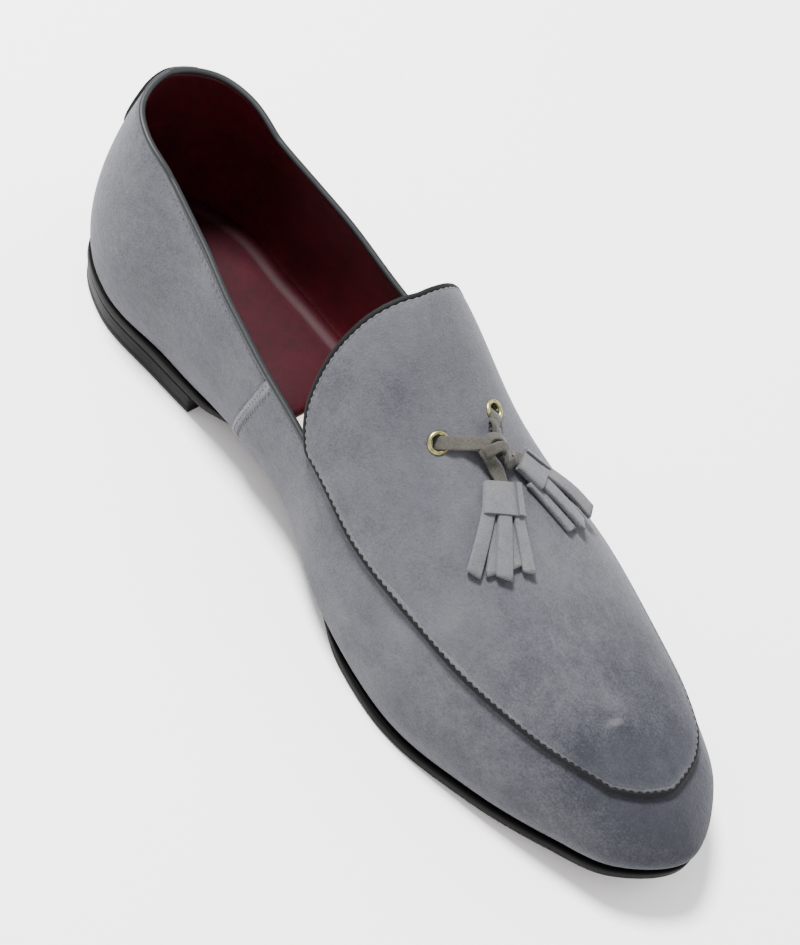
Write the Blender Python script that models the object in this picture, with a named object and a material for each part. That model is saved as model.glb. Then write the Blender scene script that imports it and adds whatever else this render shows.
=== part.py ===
"""Tassel loafer for the left foot, built piece by piece on one last.

Frame: metres, +X towards the toe, +Y towards the outer (lateral) side of the foot, +Z up.
The origin is the middle of the heel's flat bottom. The sizes and tables below are in
millimetres, with x measured from the back of the heel, and every mesh is scaled to metres.

A point on the last is given by its side, its key and its angle. The key is x along the middle
of the foot, and turns into a fan angle round the heel and the toe. The angle runs from 0 at
the feather edge, where the upper meets the sole, to a quarter turn at the ridge of the instep.
"""

import math

import bmesh
import bpy
import numpy as np
from mathutils import Vector

MM = 0.001
MEDIAL, LATERAL = -1, 1
RIDGE = math.pi / 2

# Driving dimensions
LENGTH = 292.0
TIP_Y = -2.0
ORIGIN_X = 38.0
GAP = 0.3
WALL = 2.0
APRON_THICKNESS = 1.4
TONGUE_RISE = 0.35
SOLE_THICKNESS = 4.5
HEEL_BREAST = 76.0
HEEL_TAPER = 1.2
PIPING_RADIUS = 0.95
BINDING_HEIGHT = 2.8
BINDING_WIDTH = 3.2
BINDING_STOP = 3.5
TAB_HALF_WIDTH = 13.0
TAB_SHARE = 0.42
TAB_THICKNESS = 0.8
INSOLE_THICKNESS = 2.6
SOCK_THICKNESS = 2.0
SOCK_RIM = 1.0
SOCK_END = 104.0
WAIST_TUCK = 5.0
TUCK_FROM, TUCK_TO = 80.0, 178.0
EYELET_RADIUS = 3.8
EYELET_HOLE = 1.9
EYELET_HEIGHT = 0.9
THONG_WIDTH = 4.4
THONG_THICKNESS = 1.3
KNOT_TUBE = 1.5
KNOT_SIZE = 1.45
KNOT_RISE = 1.72
END_RADIUS = 1.5
HEAD_WIDTH = 13.0
HEAD_LENGTH = 11.5
HEAD_THICKNESS = 5.0
STRIP_WIDTH = 4.6
STRIP_THICKNESS = 1.3

# Strips of a tassel: where each leaves the head, its share of the spread, and its layer
STRIP_COLUMNS = ("offset", "share", "layer")
STRIPS = (
    (-3.9, -1.0, 1),
    (0.0, 0.0, 1),
    (3.9, 1.0, 1),
    (-2.1, -0.5, 0),
    (2.1, 0.5, 0),
)

# Outline of the sole
OUTLINE_COLUMNS = ("x", "medial", "lateral")
OUTLINE = (
    (8, 19.8, 19.7),
    (30, 29.7, 30.6),
    (60, 28.5, 32.1),
    (95, 25.8, 32.4),
    (125, 26.2, 35.4),
    (160, 38.0, 41.1),
    (200, 45.1, 46.3),
    (235, 39.0, 41.6),
    (262, 30.3, 32.2),
    (280, 21.7, 20.8),
)

# Sections of the last: height and sideways place of the ridge, roundness of the side's curve,
# how far each side swells out, and how far the sole's edge stands out past the upper
SECTION_COLUMNS = ("x", "ridge_z", "ridge_y", "roundness", "swell_medial", "swell_lateral",
                   "edge_medial", "edge_lateral")
SECTIONS = (
    (0, 128.0, 0.0, 2.0, 4.0, 4.0, 1.0, 1.0),
    (20, 114.0, 0.0, 1.9, 4.0, 4.0, 1.0, 1.0),
    (40, 101.0, 0.0, 1.8, 3.8, 3.8, 1.0, 1.0),
    (60, 105.0, 1.0, 1.9, 4.0, 4.0, 1.7, 1.2),
    (80, 109.5, 2.0, 2.1, 5.2, 4.4, 1.1, 1.5),
    (120, 98.2, 3.5, 2.45, 7.4, 4.5, 0.6, 1.5),
    (160, 69.8, 2.3, 2.35, 5.6, 3.5, 1.1, 1.5),
    (200, 55.6, 1.0, 2.25, 3.0, 3.0, 2.0, 2.0),
    (235, 45.2, -0.8, 2.2, 2.5, 2.5, 2.0, 2.0),
    (262, 39.9, -2.0, 2.3, 2.5, 2.5, 2.0, 2.0),
    (292, 33.6, -2.0, 2.4, 2.5, 2.5, 2.0, 2.0),
)

# Height of the feather edge above the floor: heel seat, arch, ball and toe spring
FEATHER_COLUMNS = ("x", "z")
FEATHER = (
    (0, 14.4),
    (80, 14.4),
    (120, 11.8),
    (150, 6.8),
    (172, 4.8),
    (205, 4.8),
    (235, 7.2),
    (262, 11.5),
    (292, 17.1),
)

HEEL_SPINE_X, TOE_SPINE_X = 38.0, 262.0
HEEL_FAN, TOE_FAN = 38.0, 36.0
FIRST_KEY = HEEL_SPINE_X - HEEL_FAN * RIDGE
LAST_KEY = TOE_SPINE_X + TOE_FAN * RIDGE

# Top of the finished collar from the centre back to the corner of the throat
COLLAR_COLUMNS = ("key", "medial", "lateral")
COLLAR = (
    (FIRST_KEY, 84.5, 84.5),
    (6, 82.0, 81.0),
    (30, 78.5, 76.5),
    (60, 69.5, 67.5),
    (100, 57.8, 55.8),
    (131, 50.6, 49.6),
)
CORNER_KEY = 131.0
THROAT_KEY = 168.0

# Angle of the seam round the apron, from the corner of the throat to the toe
SEAM_COLUMNS = ("key", "medial", "lateral")
SEAM = (
    (131, 0.463, 0.470),
    (150, 0.575, 0.560),
    (170, 0.652, 0.615),
    (191, 0.734, 0.660),
    (224, 0.828, 0.700),
    (246, 0.915, 0.735),
    (256, 1.005, 0.800),
    (270, 1.120, 1.005),
    (285, 1.200, 1.130),
    (300, 1.250, 1.230),
    (LAST_KEY, 1.270, 1.270),
)

# Free end of the tongue, from the corner of the throat to the ridge: the key on each side
TONGUE_COLUMNS = ("angle", "medial", "lateral")
TONGUE = (
    (0.549, 123.6, 126.5),
    (0.767, 119.6, 123.4),
    (1.061, 119.2, 122.6),
    (1.400, 121.3, 122.8),
    (RIDGE, 122.6, 122.6),
)
TONGUE_ROOT_KEY = 146.0

# The wrap's back edge over the quarter at the waist, and the step that it makes in the wall
WRAP_EDGE_COLUMNS = ("angle", "key")
WRAP_EDGE = (
    (0.0, 95.5),
    (0.25, 101.5),
    (0.5, 105.5),
)
WRAP_EDGE_KEY = 101.0
WRAP_STEP = 0.8
WRAP_STEP_LENGTH = 25.0

# Places on top of the apron, x and y
EYELET_AT = {MEDIAL: (155.0, -8.1), LATERAL: (154.6, 14.4)}
KNOT_AT = (163.4, 5.6)
TASSELS = {
    # side: top of the head, way that the head points, tip of the middle strip, spread of the strips
    MEDIAL: ((173.6, 2.4), (0.85, -0.53), (198.1, -13.0), 8.0),
    LATERAL: ((170.4, 12.5), (0.89, 0.46), (195.0, 19.5), 4.5),
}
SIDE_NAMES = {MEDIAL: "medial", LATERAL: "lateral"}


def column(names, rows, name, at):
    """Smooth monotone curve through one column of a table, read at values of its first column."""
    xs = np.array([row[0] for row in rows], float)
    ys = np.array([row[names.index(name)] for row in rows], float)
    step, rise = np.diff(xs), np.diff(ys) / np.diff(xs)
    slope = np.zeros(len(xs))
    slope[0], slope[-1] = rise[0], rise[-1]
    for i in range(1, len(xs) - 1):
        if rise[i - 1] * rise[i] > 0:
            before, after = 2 * step[i] + step[i - 1], step[i] + 2 * step[i - 1]
            slope[i] = (before + after) / (before / rise[i - 1] + after / rise[i])
    at = np.clip(at, xs[0], xs[-1])
    i = np.clip(np.searchsorted(xs, at) - 1, 0, len(xs) - 2)
    t = (at - xs[i]) / step[i]
    low = ys[i] * (1 + 2 * t) * (1 - t) ** 2 + step[i] * slope[i] * t * (1 - t) ** 2
    high = ys[i + 1] * t * t * (3 - 2 * t) + step[i] * slope[i + 1] * t * t * (t - 1)
    return low + high


def section(name, x):
    return column(SECTION_COLUMNS, SECTIONS, name, x)


def feather_z(x):
    return column(FEATHER_COLUMNS, FEATHER, "z", x)


def curve_through(points, count):
    """Points along a centripetal curve through the second to the last but one of the points."""
    points = np.array(points, float)
    out = []
    for i in range(1, len(points) - 2):
        four = points[i - 1:i + 3]
        knots = [0.0]
        for j in range(3):
            knots.append(knots[-1] + math.sqrt(np.linalg.norm(four[j + 1] - four[j])))
        for t in np.linspace(knots[1], knots[2], count, endpoint=False):
            level = list(four)
            for span in (1, 2, 3):
                for j in range(4 - span):
                    low, high = knots[j], knots[j + span]
                    if span == 3:
                        low, high = knots[1], knots[2]
                    level[j] = ((high - t) * level[j] + (t - low) * level[j + 1]) / (high - low)
            out.append(level[0])
    out.append(points[-2])
    return np.array(out)


def outline(side, inset=0.0):
    """Half of the sole's outline, heel to toe, moved inwards by a number or by a value each."""
    own, other = ("medial", "lateral") if side == MEDIAL else ("lateral", "medial")
    own = OUTLINE_COLUMNS.index(own)
    other = OUTLINE_COLUMNS.index(other)
    near = [(row[0], side * row[own]) for row in OUTLINE]
    first, last = OUTLINE[0], OUTLINE[-1]
    points = [(first[0], -side * first[other]), (0.0, 0.0)] + near
    points += [(LENGTH, TIP_Y), (last[0], -side * last[other])]
    points = curve_through(points, 24)
    along = np.gradient(points, axis=0)
    inwards = np.stack([along[:, 1], -along[:, 0]], 1) * side
    inwards /= np.linalg.norm(inwards, axis=1)[:, None]
    inwards[0], inwards[-1] = (1, 0), (-1, 0)
    amount = inset(points[:, 0]) if callable(inset) else np.full(len(points), float(inset))
    return points + inwards * amount[:, None]


def key_of(points, side):
    """Station key of points given by x and y."""
    key = points[:, 0].copy()
    middle = section("ridge_y", np.array([HEEL_SPINE_X, TOE_SPINE_X]))
    ahead = points[:, 0] - TOE_SPINE_X
    turn = np.arctan2(ahead, side * (points[:, 1] - middle[1]))
    key[ahead > 0] = (TOE_SPINE_X + TOE_FAN * turn)[ahead > 0]
    behind = HEEL_SPINE_X - points[:, 0]
    turn = np.arctan2(behind, side * (points[:, 1] - middle[0]))
    key[behind > 0] = (HEEL_SPINE_X - HEEL_FAN * turn)[behind > 0]
    return key


def feather_table(side):
    """Keys and points of the feather edge, which lies inside the sole's outline."""
    name = "edge_" + SIDE_NAMES[side]
    points = outline(side, lambda x: section(name, x))
    key = key_of(points, side)
    key[0], key[-1] = FIRST_KEY, LAST_KEY
    return key, points


FEATHER_EDGE = {side: feather_table(side) for side in (MEDIAL, LATERAL)}


def last_point(side, key, angle):
    """Point of the last's surface, in millimetres."""
    key, angle = np.broadcast_arrays(np.asarray(key, float), np.asarray(angle, float))
    keys, points = FEATHER_EDGE[side]
    foot = np.stack([np.interp(key, keys, points[:, 0]), np.interp(key, keys, points[:, 1])], -1)
    spine_x = np.clip(key, HEEL_SPINE_X, TOE_SPINE_X)
    spine = np.stack([spine_x, section("ridge_y", spine_x)], -1)
    x = foot[..., 0]
    reach = np.linalg.norm(spine - foot, axis=-1)
    inwards = (spine - foot) / reach[..., None]
    power = 2 / section("roundness", x)
    height = np.sin(angle) ** power
    side_in = reach * (1 - np.maximum(np.cos(angle), 0) ** power)
    start = 0.03 ** 0.6
    swell_at = ((height + 0.03) ** 0.6 - start) / (1.03 ** 0.6 - start)
    swell = section("swell_" + SIDE_NAMES[side], x) * np.sin(math.pi * swell_at)
    flat = foot + inwards * (side_in - swell)[..., None]
    top = section("ridge_z", np.where(key < HEEL_SPINE_X, x, spine_x))
    slope = (section("ridge_z", TOE_SPINE_X) - section("ridge_z", TOE_SPINE_X - 4.0)) / 4.0
    fall = np.where(key > TOE_SPINE_X, slope * (flat[..., 0] - TOE_SPINE_X), 0.0)
    low = feather_z(x)
    return np.concatenate([flat, (low + (top - low + fall) * height)[..., None]], -1)


def last_normal(side, key, angle):
    """Outward direction: level at the feather edge, and shared by both sides at the middle."""
    key, angle = np.broadcast_arrays(np.asarray(key, float), np.asarray(angle, float))
    small = 0.4
    before = last_point(side, np.maximum(key - small, FIRST_KEY), angle)
    after = last_point(side, np.minimum(key + small, LAST_KEY), angle)
    low = last_point(side, key, np.maximum(angle - 0.01, 0.0))
    high = last_point(side, key, np.minimum(angle + 0.01, RIDGE))
    normal = np.cross(after - before, high - low) * -side
    spine_x = np.clip(key, HEEL_SPINE_X, TOE_SPINE_X)
    slope = (section("ridge_z", spine_x + 1.0) - section("ridge_z", spine_x - 1.0)) / 2.0
    up = np.stack([-slope, np.zeros_like(slope), np.ones_like(slope)], -1)
    up /= np.linalg.norm(up, axis=-1)[..., None]
    length = np.linalg.norm(normal, axis=-1)[..., None]
    normal = np.where(length > 1e-9, normal / np.maximum(length, 1e-9), up)
    to_ridge = np.clip((angle - RIDGE + 0.2) / 0.2, 0, 1)[..., None]
    normal = normal * (1 - to_ridge) + up * to_ridge
    normal[..., 2] *= np.clip(angle / 0.2, 0, 1)
    middle = (key <= FIRST_KEY + 1e-6) | (key >= LAST_KEY - 1e-6)
    normal[..., 1] = np.where(middle, 0.0, normal[..., 1])
    return normal / np.linalg.norm(normal, axis=-1)[..., None]


def lifted(side, key, angle, lift):
    """Point at a height above the last, along its outward direction."""
    lift = np.asarray(lift, float)
    return last_point(side, key, angle) + last_normal(side, key, angle) * lift[..., None]


def apron_lift(key, _angle=None):
    """Height of the apron's underside above the last; the tongue rises clear of the quarters."""
    return GAP + TONGUE_RISE * np.clip((THROAT_KEY + 8.0 - key) / 16.0, 0, 1)


def apron_top(key, angle=None):
    return apron_lift(key, angle) + APRON_THICKNESS


def over_apron(x, y, height):
    """Point at a height above the apron over x, y, and the outward direction there."""
    side = MEDIAL if y < section("ridge_y", x) else LATERAL
    angles = np.linspace(0.5, RIDGE, 300)
    points = last_point(side, np.full(300, float(x)), angles)
    angle = np.interp(side * -y, side * -points[:, 1], angles)
    normal = last_normal(side, x, angle)
    return last_point(side, x, angle) + normal * (apron_top(x) + height), normal


def wrap_step(key, angle):
    """The quarter lies lower than the wrap behind the wrap's edge, and rises again further back."""
    edge = column(WRAP_EDGE_COLUMNS, WRAP_EDGE, "key", angle)
    behind = edge - key
    fade = np.clip(1 - behind / WRAP_STEP_LENGTH, 0, 1)
    return np.where(behind > 0, -WRAP_STEP * fade, 0.0)


def seam_angle(side, key):
    """Angle of the apron's edge, with its two halves eased into one curve round the toe."""
    key = np.asarray(key, float)
    spread = np.clip((key - 215.0) / 40.0, 0, 1)
    total = 0.0
    for step, weight in zip((-21, -14, -7, 0, 7, 14, 21), (1, 6, 15, 20, 15, 6, 1)):
        behind_tip = LAST_KEY - key + step * spread
        at = LAST_KEY - np.abs(behind_tip)
        own = column(SEAM_COLUMNS, SEAM, SIDE_NAMES[side], at)
        other = column(SEAM_COLUMNS, SEAM, SIDE_NAMES[-side], at)
        total = total + weight / 64 * np.where(behind_tip < 0, other, own)
    return total


def collar_angle(side, key, lower):
    """Angle at which the wall reaches the collar's height, less what the binding takes."""
    key = np.asarray(key, float)
    keys, points = FEATHER_EDGE[side]
    x = np.interp(key, keys, points[:, 0])
    height = column(COLLAR_COLUMNS, COLLAR, SIDE_NAMES[side], key) - lower
    low = feather_z(x)
    share = np.clip((height - low) / (section("ridge_z", x) - low), 0, 1)
    return np.arcsin(share ** (section("roundness", x) / 2))


def top_angle(side, key, lower):
    """The wall's top edge: along the collar, then under the tongue to the ridge at the throat."""
    key = np.asarray(key, float)
    share = np.clip((key - CORNER_KEY) / (THROAT_KEY - CORNER_KEY), 0, 1)
    corner = collar_angle(side, CORNER_KEY, lower)
    under_tongue = corner + (RIDGE - corner) * share ** 1.15
    return np.where(key < CORNER_KEY, collar_angle(side, key, lower), under_tongue)


def spaced(start, end, step):
    """Evenly spaced values from start to end, about a step apart, without the end."""
    count = max(1, round((end - start) / step))
    return list(np.linspace(start, end, count, endpoint=False))


def material(name, colour, roughness, metallic=0.0):
    """Plain finish of one piece."""
    made = bpy.data.materials.new(name)
    made.use_nodes = True
    shader = made.node_tree.nodes["Principled BSDF"]
    shader.inputs["Base Color"].default_value = (*colour, 1.0)
    shader.inputs["Roughness"].default_value = roughness
    shader.inputs["Metallic"].default_value = metallic
    made.diffuse_color = (*colour, 1.0)
    return made


def add_object(name, points, faces, finish):
    """Mesh object from points in millimetres, with its faces turned outwards."""
    shape = bmesh.new()
    verts = [shape.verts.new(((p[0] - ORIGIN_X) * MM, p[1] * MM, p[2] * MM)) for p in points]
    for face in faces:
        shape.faces.new([verts[i] for i in face])
    bmesh.ops.recalc_face_normals(shape, faces=shape.faces)
    mesh = bpy.data.meshes.new(name)
    shape.to_mesh(mesh)
    shape.free()
    mesh.shade_smooth()
    mesh.set_sharp_from_angle(angle=math.radians(40))
    mesh.materials.append(finish)
    made = bpy.data.objects.new(name, mesh)
    bpy.context.scene.collection.objects.link(made)
    return made


def merge_points(points, faces):
    """One point for each place, and no face that has shrunk to a line."""
    index, kept, number = {}, [], []
    for point in points:
        place = tuple(round(float(v) * 200) for v in point)
        if place not in index:
            index[place] = len(kept)
            kept.append(point)
        number.append(index[place])
    clean = []
    for face in faces:
        corners = [number[i] for i in face]
        corners = [c for i, c in enumerate(corners) if c != corners[i - 1]]
        if len(corners) > 2 and len(set(corners)) == len(corners):
            clean.append(corners)
    return kept, clean, number


def add_wall(name, grids, inner, outer, finish):
    """Closed wall over grids of side, keys and angles, between two heights above the last.

    The grids meet at the ridge and at the centre lines of heel and toe. Every edge of the
    joined sheet that stays open gets a rim. A height may be a number or a function of key
    and angle.
    """
    base, outside, inside, faces = [], [], [], []
    for side, key, angle in grids:
        start = len(base)
        rows, columns = key.shape
        base.extend(last_point(side, key, angle).reshape(-1, 3))
        for height, points in ((outer, outside), (inner, inside)):
            lift = height(key, angle) if callable(height) else np.full(key.shape, float(height))
            points.extend(lifted(side, key, angle, lift).reshape(-1, 3))
        for i in range(rows - 1):
            for j in range(columns - 1):
                corner = start + i * columns + j
                face = [corner, corner + columns, corner + columns + 1, corner + 1]
                faces.append(face if side == MEDIAL else face[::-1])
    base, faces, number = merge_points(base, faces)
    count = len(base)
    kept = [number.index(i) for i in range(count)]
    points = [outside[i] for i in kept] + [inside[i] for i in kept]
    edges = {}
    for face in faces:
        for a, b in zip(face, face[1:] + face[:1]):
            edges[(a, b)] = edges.get((a, b), 0) + 1
    rim = [[b, a, a + count, b + count] for a, b in edges if (b, a) not in edges]
    lining = [[i + count for i in reversed(face)] for face in faces]
    return add_object(name, points, faces + lining + rim, finish)


def add_loft(name, rings, finish, closed=False):
    """Skin over rings with the same number of points, with flat ends unless it closes on itself."""
    size = len(rings[0])
    points = [point for ring in rings for point in ring]
    faces = []
    spans = len(rings) if closed else len(rings) - 1
    for i in range(spans):
        near, far = i * size, (i + 1) % len(rings) * size
        for j in range(size):
            k = (j + 1) % size
            faces.append([near + j, near + k, far + k, far + j])
    if not closed:
        faces.append(list(range(size))[::-1])
        faces.append([(len(rings) - 1) * size + j for j in range(size)])
    points, faces, _ = merge_points(points, faces)
    return add_object(name, points, faces, finish)


def plank_rings(stations, layers, end=LENGTH, front=None):
    """Cross sections of a flat piece that follows the sole's outline.

    Each layer is an inset, a number or a function of x, and a height as a function of x. The
    stations run from 0 to 1 along each layer. A front narrows the piece towards its end.
    """
    rings = []
    curves = []
    for inset, height in layers:
        halves = {side: outline(side, inset) for side in (MEDIAL, LATERAL)}
        curves.append((halves, height))
    for t in stations:
        ring = {MEDIAL: [], LATERAL: []}
        for halves, height in curves:
            start = halves[MEDIAL][0][0]
            stop = halves[MEDIAL][-1][0] if end >= LENGTH else end - start
            x = start + (stop - start) * t
            for side in (MEDIAL, LATERAL):
                y = np.interp(x, halves[side][:, 0], halves[side][:, 1])
                if front is not None:
                    y *= front(x, stop)
                ring[side].append((x, y, float(height(x))))
        rings.append(ring[MEDIAL] + ring[LATERAL][::-1])
    return rings


def tube_rings(path, normals, half_width, half_height, count, closed=False):
    """Oval rings round a path, with their height along the given normals."""
    path, normals = np.array(path), np.array(normals)
    if closed:
        along = np.roll(path, -1, 0) - np.roll(path, 1, 0)
    else:
        along = np.gradient(path, axis=0)
    along /= np.linalg.norm(along, axis=1)[:, None]
    across = np.cross(along, normals)
    across /= np.linalg.norm(across, axis=1)[:, None]
    up = np.cross(across, along)
    rings = []
    for centre, side, top in zip(path, across, up):
        ring = []
        for j in range(count):
            turn = 2 * math.pi * (j + 0.5) / count
            ring.append(centre + side * half_width * math.cos(turn) + top * half_height * math.sin(turn))
        rings.append(ring)
    return rings


def strap_rings(path, normals, width, thickness):
    """Flat rings round a path, with square edges."""
    path, normals = np.array(path), np.array(normals)
    along = np.gradient(path, axis=0)
    along /= np.linalg.norm(along, axis=1)[:, None]
    across = np.cross(along, normals)
    across /= np.linalg.norm(across, axis=1)[:, None]
    up = np.cross(across, along)
    half, rise = width / 2, thickness / 2
    corners = ((-half, -rise), (half, -rise), (half, rise), (-half, rise))
    return [[c + a * u + n * v for u, v in corners] for c, a, n in zip(path, across, up)]


def waist_tuck(x, share):
    """How far the sole's edge slants in at the waist, where the upper hides it."""
    behind = np.clip((x - TUCK_FROM) / 16.0, 0.0, 1.0)
    ahead = np.clip((TUCK_TO - x) / 30.0, 0.0, 1.0)
    return WAIST_TUCK * share * behind ** 2 * (3 - 2 * behind) * ahead ** 2 * (3 - 2 * ahead)


def build_outsole(finish):
    """Leather sole with its arch and toe spring, its edge rounded above and below."""
    top = GAP
    bottom = top + SOLE_THICKNESS
    layers = (
        (lambda x: 0.9 + waist_tuck(x, 1.0), lambda x: feather_z(x) - bottom),
        (lambda x: waist_tuck(x, 0.85), lambda x: feather_z(x) - bottom + 0.9),
        (lambda x: waist_tuck(x, 0.45), lambda x: feather_z(x) - top - 0.7),
        (lambda x: 0.7 + waist_tuck(x, 0.35), lambda x: feather_z(x) - top),
    )
    stations = [(1 - math.cos(math.pi * i / 38)) / 2 for i in range(39)]
    return add_loft("outsole", plank_rings(stations, layers), finish)


def build_heel(finish):
    """Low block, slightly narrower at the floor, with a straight breast."""
    top = float(feather_z(0.0)) - 2 * GAP - SOLE_THICKNESS
    layers = (
        (HEEL_TAPER + 0.6, lambda x: 0.0),
        (HEEL_TAPER, lambda x: 0.6),
        (0.5, lambda x: top),
    )
    stations = [1 - math.cos(RIDGE * i / 12) for i in range(10)] + [0.86, 1.0]
    return add_loft("heel", plank_rings(stations, layers, end=HEEL_BREAST), finish)


def insole_inset(x):
    """The insole's edge lies just inside the upper's wall."""
    return np.maximum(section("edge_medial", x), section("edge_lateral", x)) + WALL + GAP + 0.1


def build_insole(finish):
    """Full-length board that closes the upper underneath."""
    layers = (
        (insole_inset, lambda x: feather_z(x)),
        (insole_inset, lambda x: feather_z(x) + INSOLE_THICKNESS),
    )
    stations = [(1 - math.cos(math.pi * i / 30)) / 2 for i in range(31)]
    return add_loft("insole", plank_rings(stations, layers), finish)


def build_sock(finish):
    """Padded sock from the heel to the arch, with a raised edge."""
    base = INSOLE_THICKNESS + GAP

    def inset(more):
        return lambda x: insole_inset(x) + 0.3 + more

    layers = (
        (inset(0.0), lambda x: feather_z(x) + base),
        (inset(0.2), lambda x: feather_z(x) + base + SOCK_THICKNESS),
        (inset(1.6), lambda x: feather_z(x) + base + SOCK_THICKNESS + SOCK_RIM),
        (inset(5.0), lambda x: feather_z(x) + base + SOCK_THICKNESS),
    )

    def front(x, stop):
        return (1 - 0.75 * max(0.0, (x - stop + 9) / 9) ** 3)

    stations = [1 - math.cos(RIDGE * i / 12) for i in range(10)] + [0.84, 0.91, 0.955, 0.98, 1.0]
    return add_loft("insole_sock", plank_rings(stations, layers, SOCK_END, front), finish)


def upper_keys():
    """Stations of the upper's wall, with a close pair at the wrap's back edge."""
    keys = spaced(FIRST_KEY, HEEL_SPINE_X, 7.5)
    keys += spaced(HEEL_SPINE_X, WRAP_EDGE_KEY - 0.3, 10.0) + [WRAP_EDGE_KEY - 0.3]
    keys += spaced(WRAP_EDGE_KEY + 0.3, CORNER_KEY, 8.0)
    keys += spaced(CORNER_KEY, THROAT_KEY, 7.4)
    keys += spaced(THROAT_KEY, TOE_SPINE_X, 10.5)
    keys += spaced(TOE_SPINE_X, LAST_KEY, 9.5) + [LAST_KEY]
    return np.array(keys)


def upper_grid(side, low_rows=6, high_rows=5):
    """Wall from the feather edge to its top edge; the high rows start at the apron's seam."""
    keys = upper_keys()
    top = top_angle(side, keys, BINDING_HEIGHT + GAP)
    split = np.where(keys < CORNER_KEY, top, np.minimum(top, seam_angle(side, keys)))
    rows = [split * (i / low_rows) ** 1.15 for i in range(low_rows)]
    rows += [split + (top - split) * i / high_rows for i in range(high_rows + 1)]
    angle = np.stack(rows, 1)
    key = np.repeat(keys[:, None], angle.shape[1], 1)
    lean = column(WRAP_EDGE_COLUMNS, WRAP_EDGE, "key", angle) - WRAP_EDGE_KEY
    near = np.clip(1 - np.abs(key - WRAP_EDGE_KEY) / 28.0, 0, 1)
    return side, key + lean * near, angle


def build_upper(finish):
    """Wrap and quarters as one hollow wall, open at the collar, the throat and underneath."""
    grids = [upper_grid(side) for side in (MEDIAL, LATERAL)]
    return add_wall("upper", grids, -WALL, wrap_step, finish)


def apron_edge(side):
    """Edge of the apron and its tongue as keys and angles, from the toe to the tongue's end."""
    keys = spaced(LAST_KEY, TOE_SPINE_X, -9.5) + spaced(TOE_SPINE_X, THROAT_KEY, -10.5)
    keys += spaced(THROAT_KEY, CORNER_KEY, -7.4)
    seam = [(key, float(seam_angle(side, key))) for key in keys]
    scale = 40.0
    corner = (CORNER_KEY, float(seam_angle(side, CORNER_KEY)))
    end = TONGUE_COLUMNS.index(SIDE_NAMES[side])
    turn = [seam[-1], corner] + [(row[end], row[0]) for row in TONGUE]
    turn.append((TONGUE[-1][end], RIDGE + 0.2))
    curve = curve_through([(key, angle * scale) for key, angle in turn], 2)
    return seam + [(key, angle / scale) for key, angle in curve]


def apron_grid(side, rows):
    """Lines from the edge to the ridge; round the tongue's end they fan from one root."""
    edge = np.array(apron_edge(side))
    edge[-1, 1] = RIDGE
    count = len(edge)
    root = np.stack([np.clip(edge[:, 0], TONGUE_ROOT_KEY, None), np.full(count, RIDGE)], 1)
    share = (np.arange(rows + 1) / rows)[None, :]
    key = edge[:, :1] * (1 - share) + root[:, :1] * share
    angle = edge[:, 1:] * (1 - share) + root[:, 1:] * share
    return side, key, angle


def build_apron(finish):
    """Apron laid over the upper, running on as the tongue."""
    grids = [apron_grid(side, 5) for side in (MEDIAL, LATERAL)]
    return add_wall("apron_tongue", grids, apron_lift, apron_top, finish)


def build_piping(finish):
    """Cord that lies in the step round the apron and follows the edge of the tongue."""
    path, normals = [], []
    for side in (MEDIAL, LATERAL):
        edge = np.array(apron_edge(side))
        edge[-1, 1] = RIDGE
        points = lifted(side, edge[:, 0], edge[:, 1], apron_lift(edge[:, 0]) + PIPING_RADIUS)
        normal = last_normal(side, edge[:, 0], edge[:, 1])
        if side == LATERAL:
            points, normal = points[::-1][1:-1], normal[::-1][1:-1]
        path.extend(points)
        normals.extend(normal)
    path, normals = np.array(path), np.array(normals)
    along = np.roll(path, -1, 0) - np.roll(path, 1, 0)
    outwards = np.cross(normals, along)
    outwards /= np.linalg.norm(outwards, axis=1)[:, None]
    path = path + outwards * (PIPING_RADIUS + GAP)
    rings = tube_rings(path, normals, PIPING_RADIUS, PIPING_RADIUS, 6, closed=True)
    return add_loft("apron_piping", rings, finish, closed=True)


def build_binding(finish):
    """Rolled edge on top of the collar, from one corner of the throat round the back."""
    halves = []
    for side in (MEDIAL, LATERAL):
        _, keys, angles = upper_grid(side)
        key, angle = keys[:, -1], angles[:, -1]
        bound = (key < CORNER_KEY - BINDING_STOP) & (np.abs(key - WRAP_EDGE_KEY - 4.5) > 2.0)
        key, angle = key[bound][::-1], angle[bound][::-1]
        middle = np.full(len(key), -WALL / 2)
        rim = lifted(side, key, angle, middle)
        halves.append((rim, lifted(side, key, angle + 0.02, middle) - rim))
    rim = np.concatenate([halves[0][0], halves[1][0][-2::-1]])
    rise = np.concatenate([halves[0][1], halves[1][1][-2::-1]])
    rise /= np.linalg.norm(rise, axis=1)[:, None]
    path = rim + rise * (GAP + BINDING_HEIGHT / 2)
    rings = tube_rings(path, rise, BINDING_WIDTH / 2, BINDING_HEIGHT / 2, 8)
    return add_loft("collar_binding", rings, finish)


def build_heel_tab(finish):
    """Small overlay down the centre back, rounded at its lower end."""
    grids = []
    for side in (MEDIAL, LATERAL):
        down = np.linspace(0, 1, 6)[None, :]
        across = np.linspace(0, 1, 4)[:, None]
        width = TAB_HALF_WIDTH * np.sqrt(1 - 0.85 * (1 - down) ** 3)
        key = FIRST_KEY + across * width
        top = collar_angle(side, key, BINDING_HEIGHT + 2 * GAP)
        bottom = collar_angle(side, FIRST_KEY, BINDING_HEIGHT) * (1 - TAB_SHARE)
        angle = bottom + (top - bottom) * down
        grids.append((side, key, angle))
    return add_wall("heel_tab", grids, GAP, GAP + TAB_THICKNESS, finish)


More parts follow.
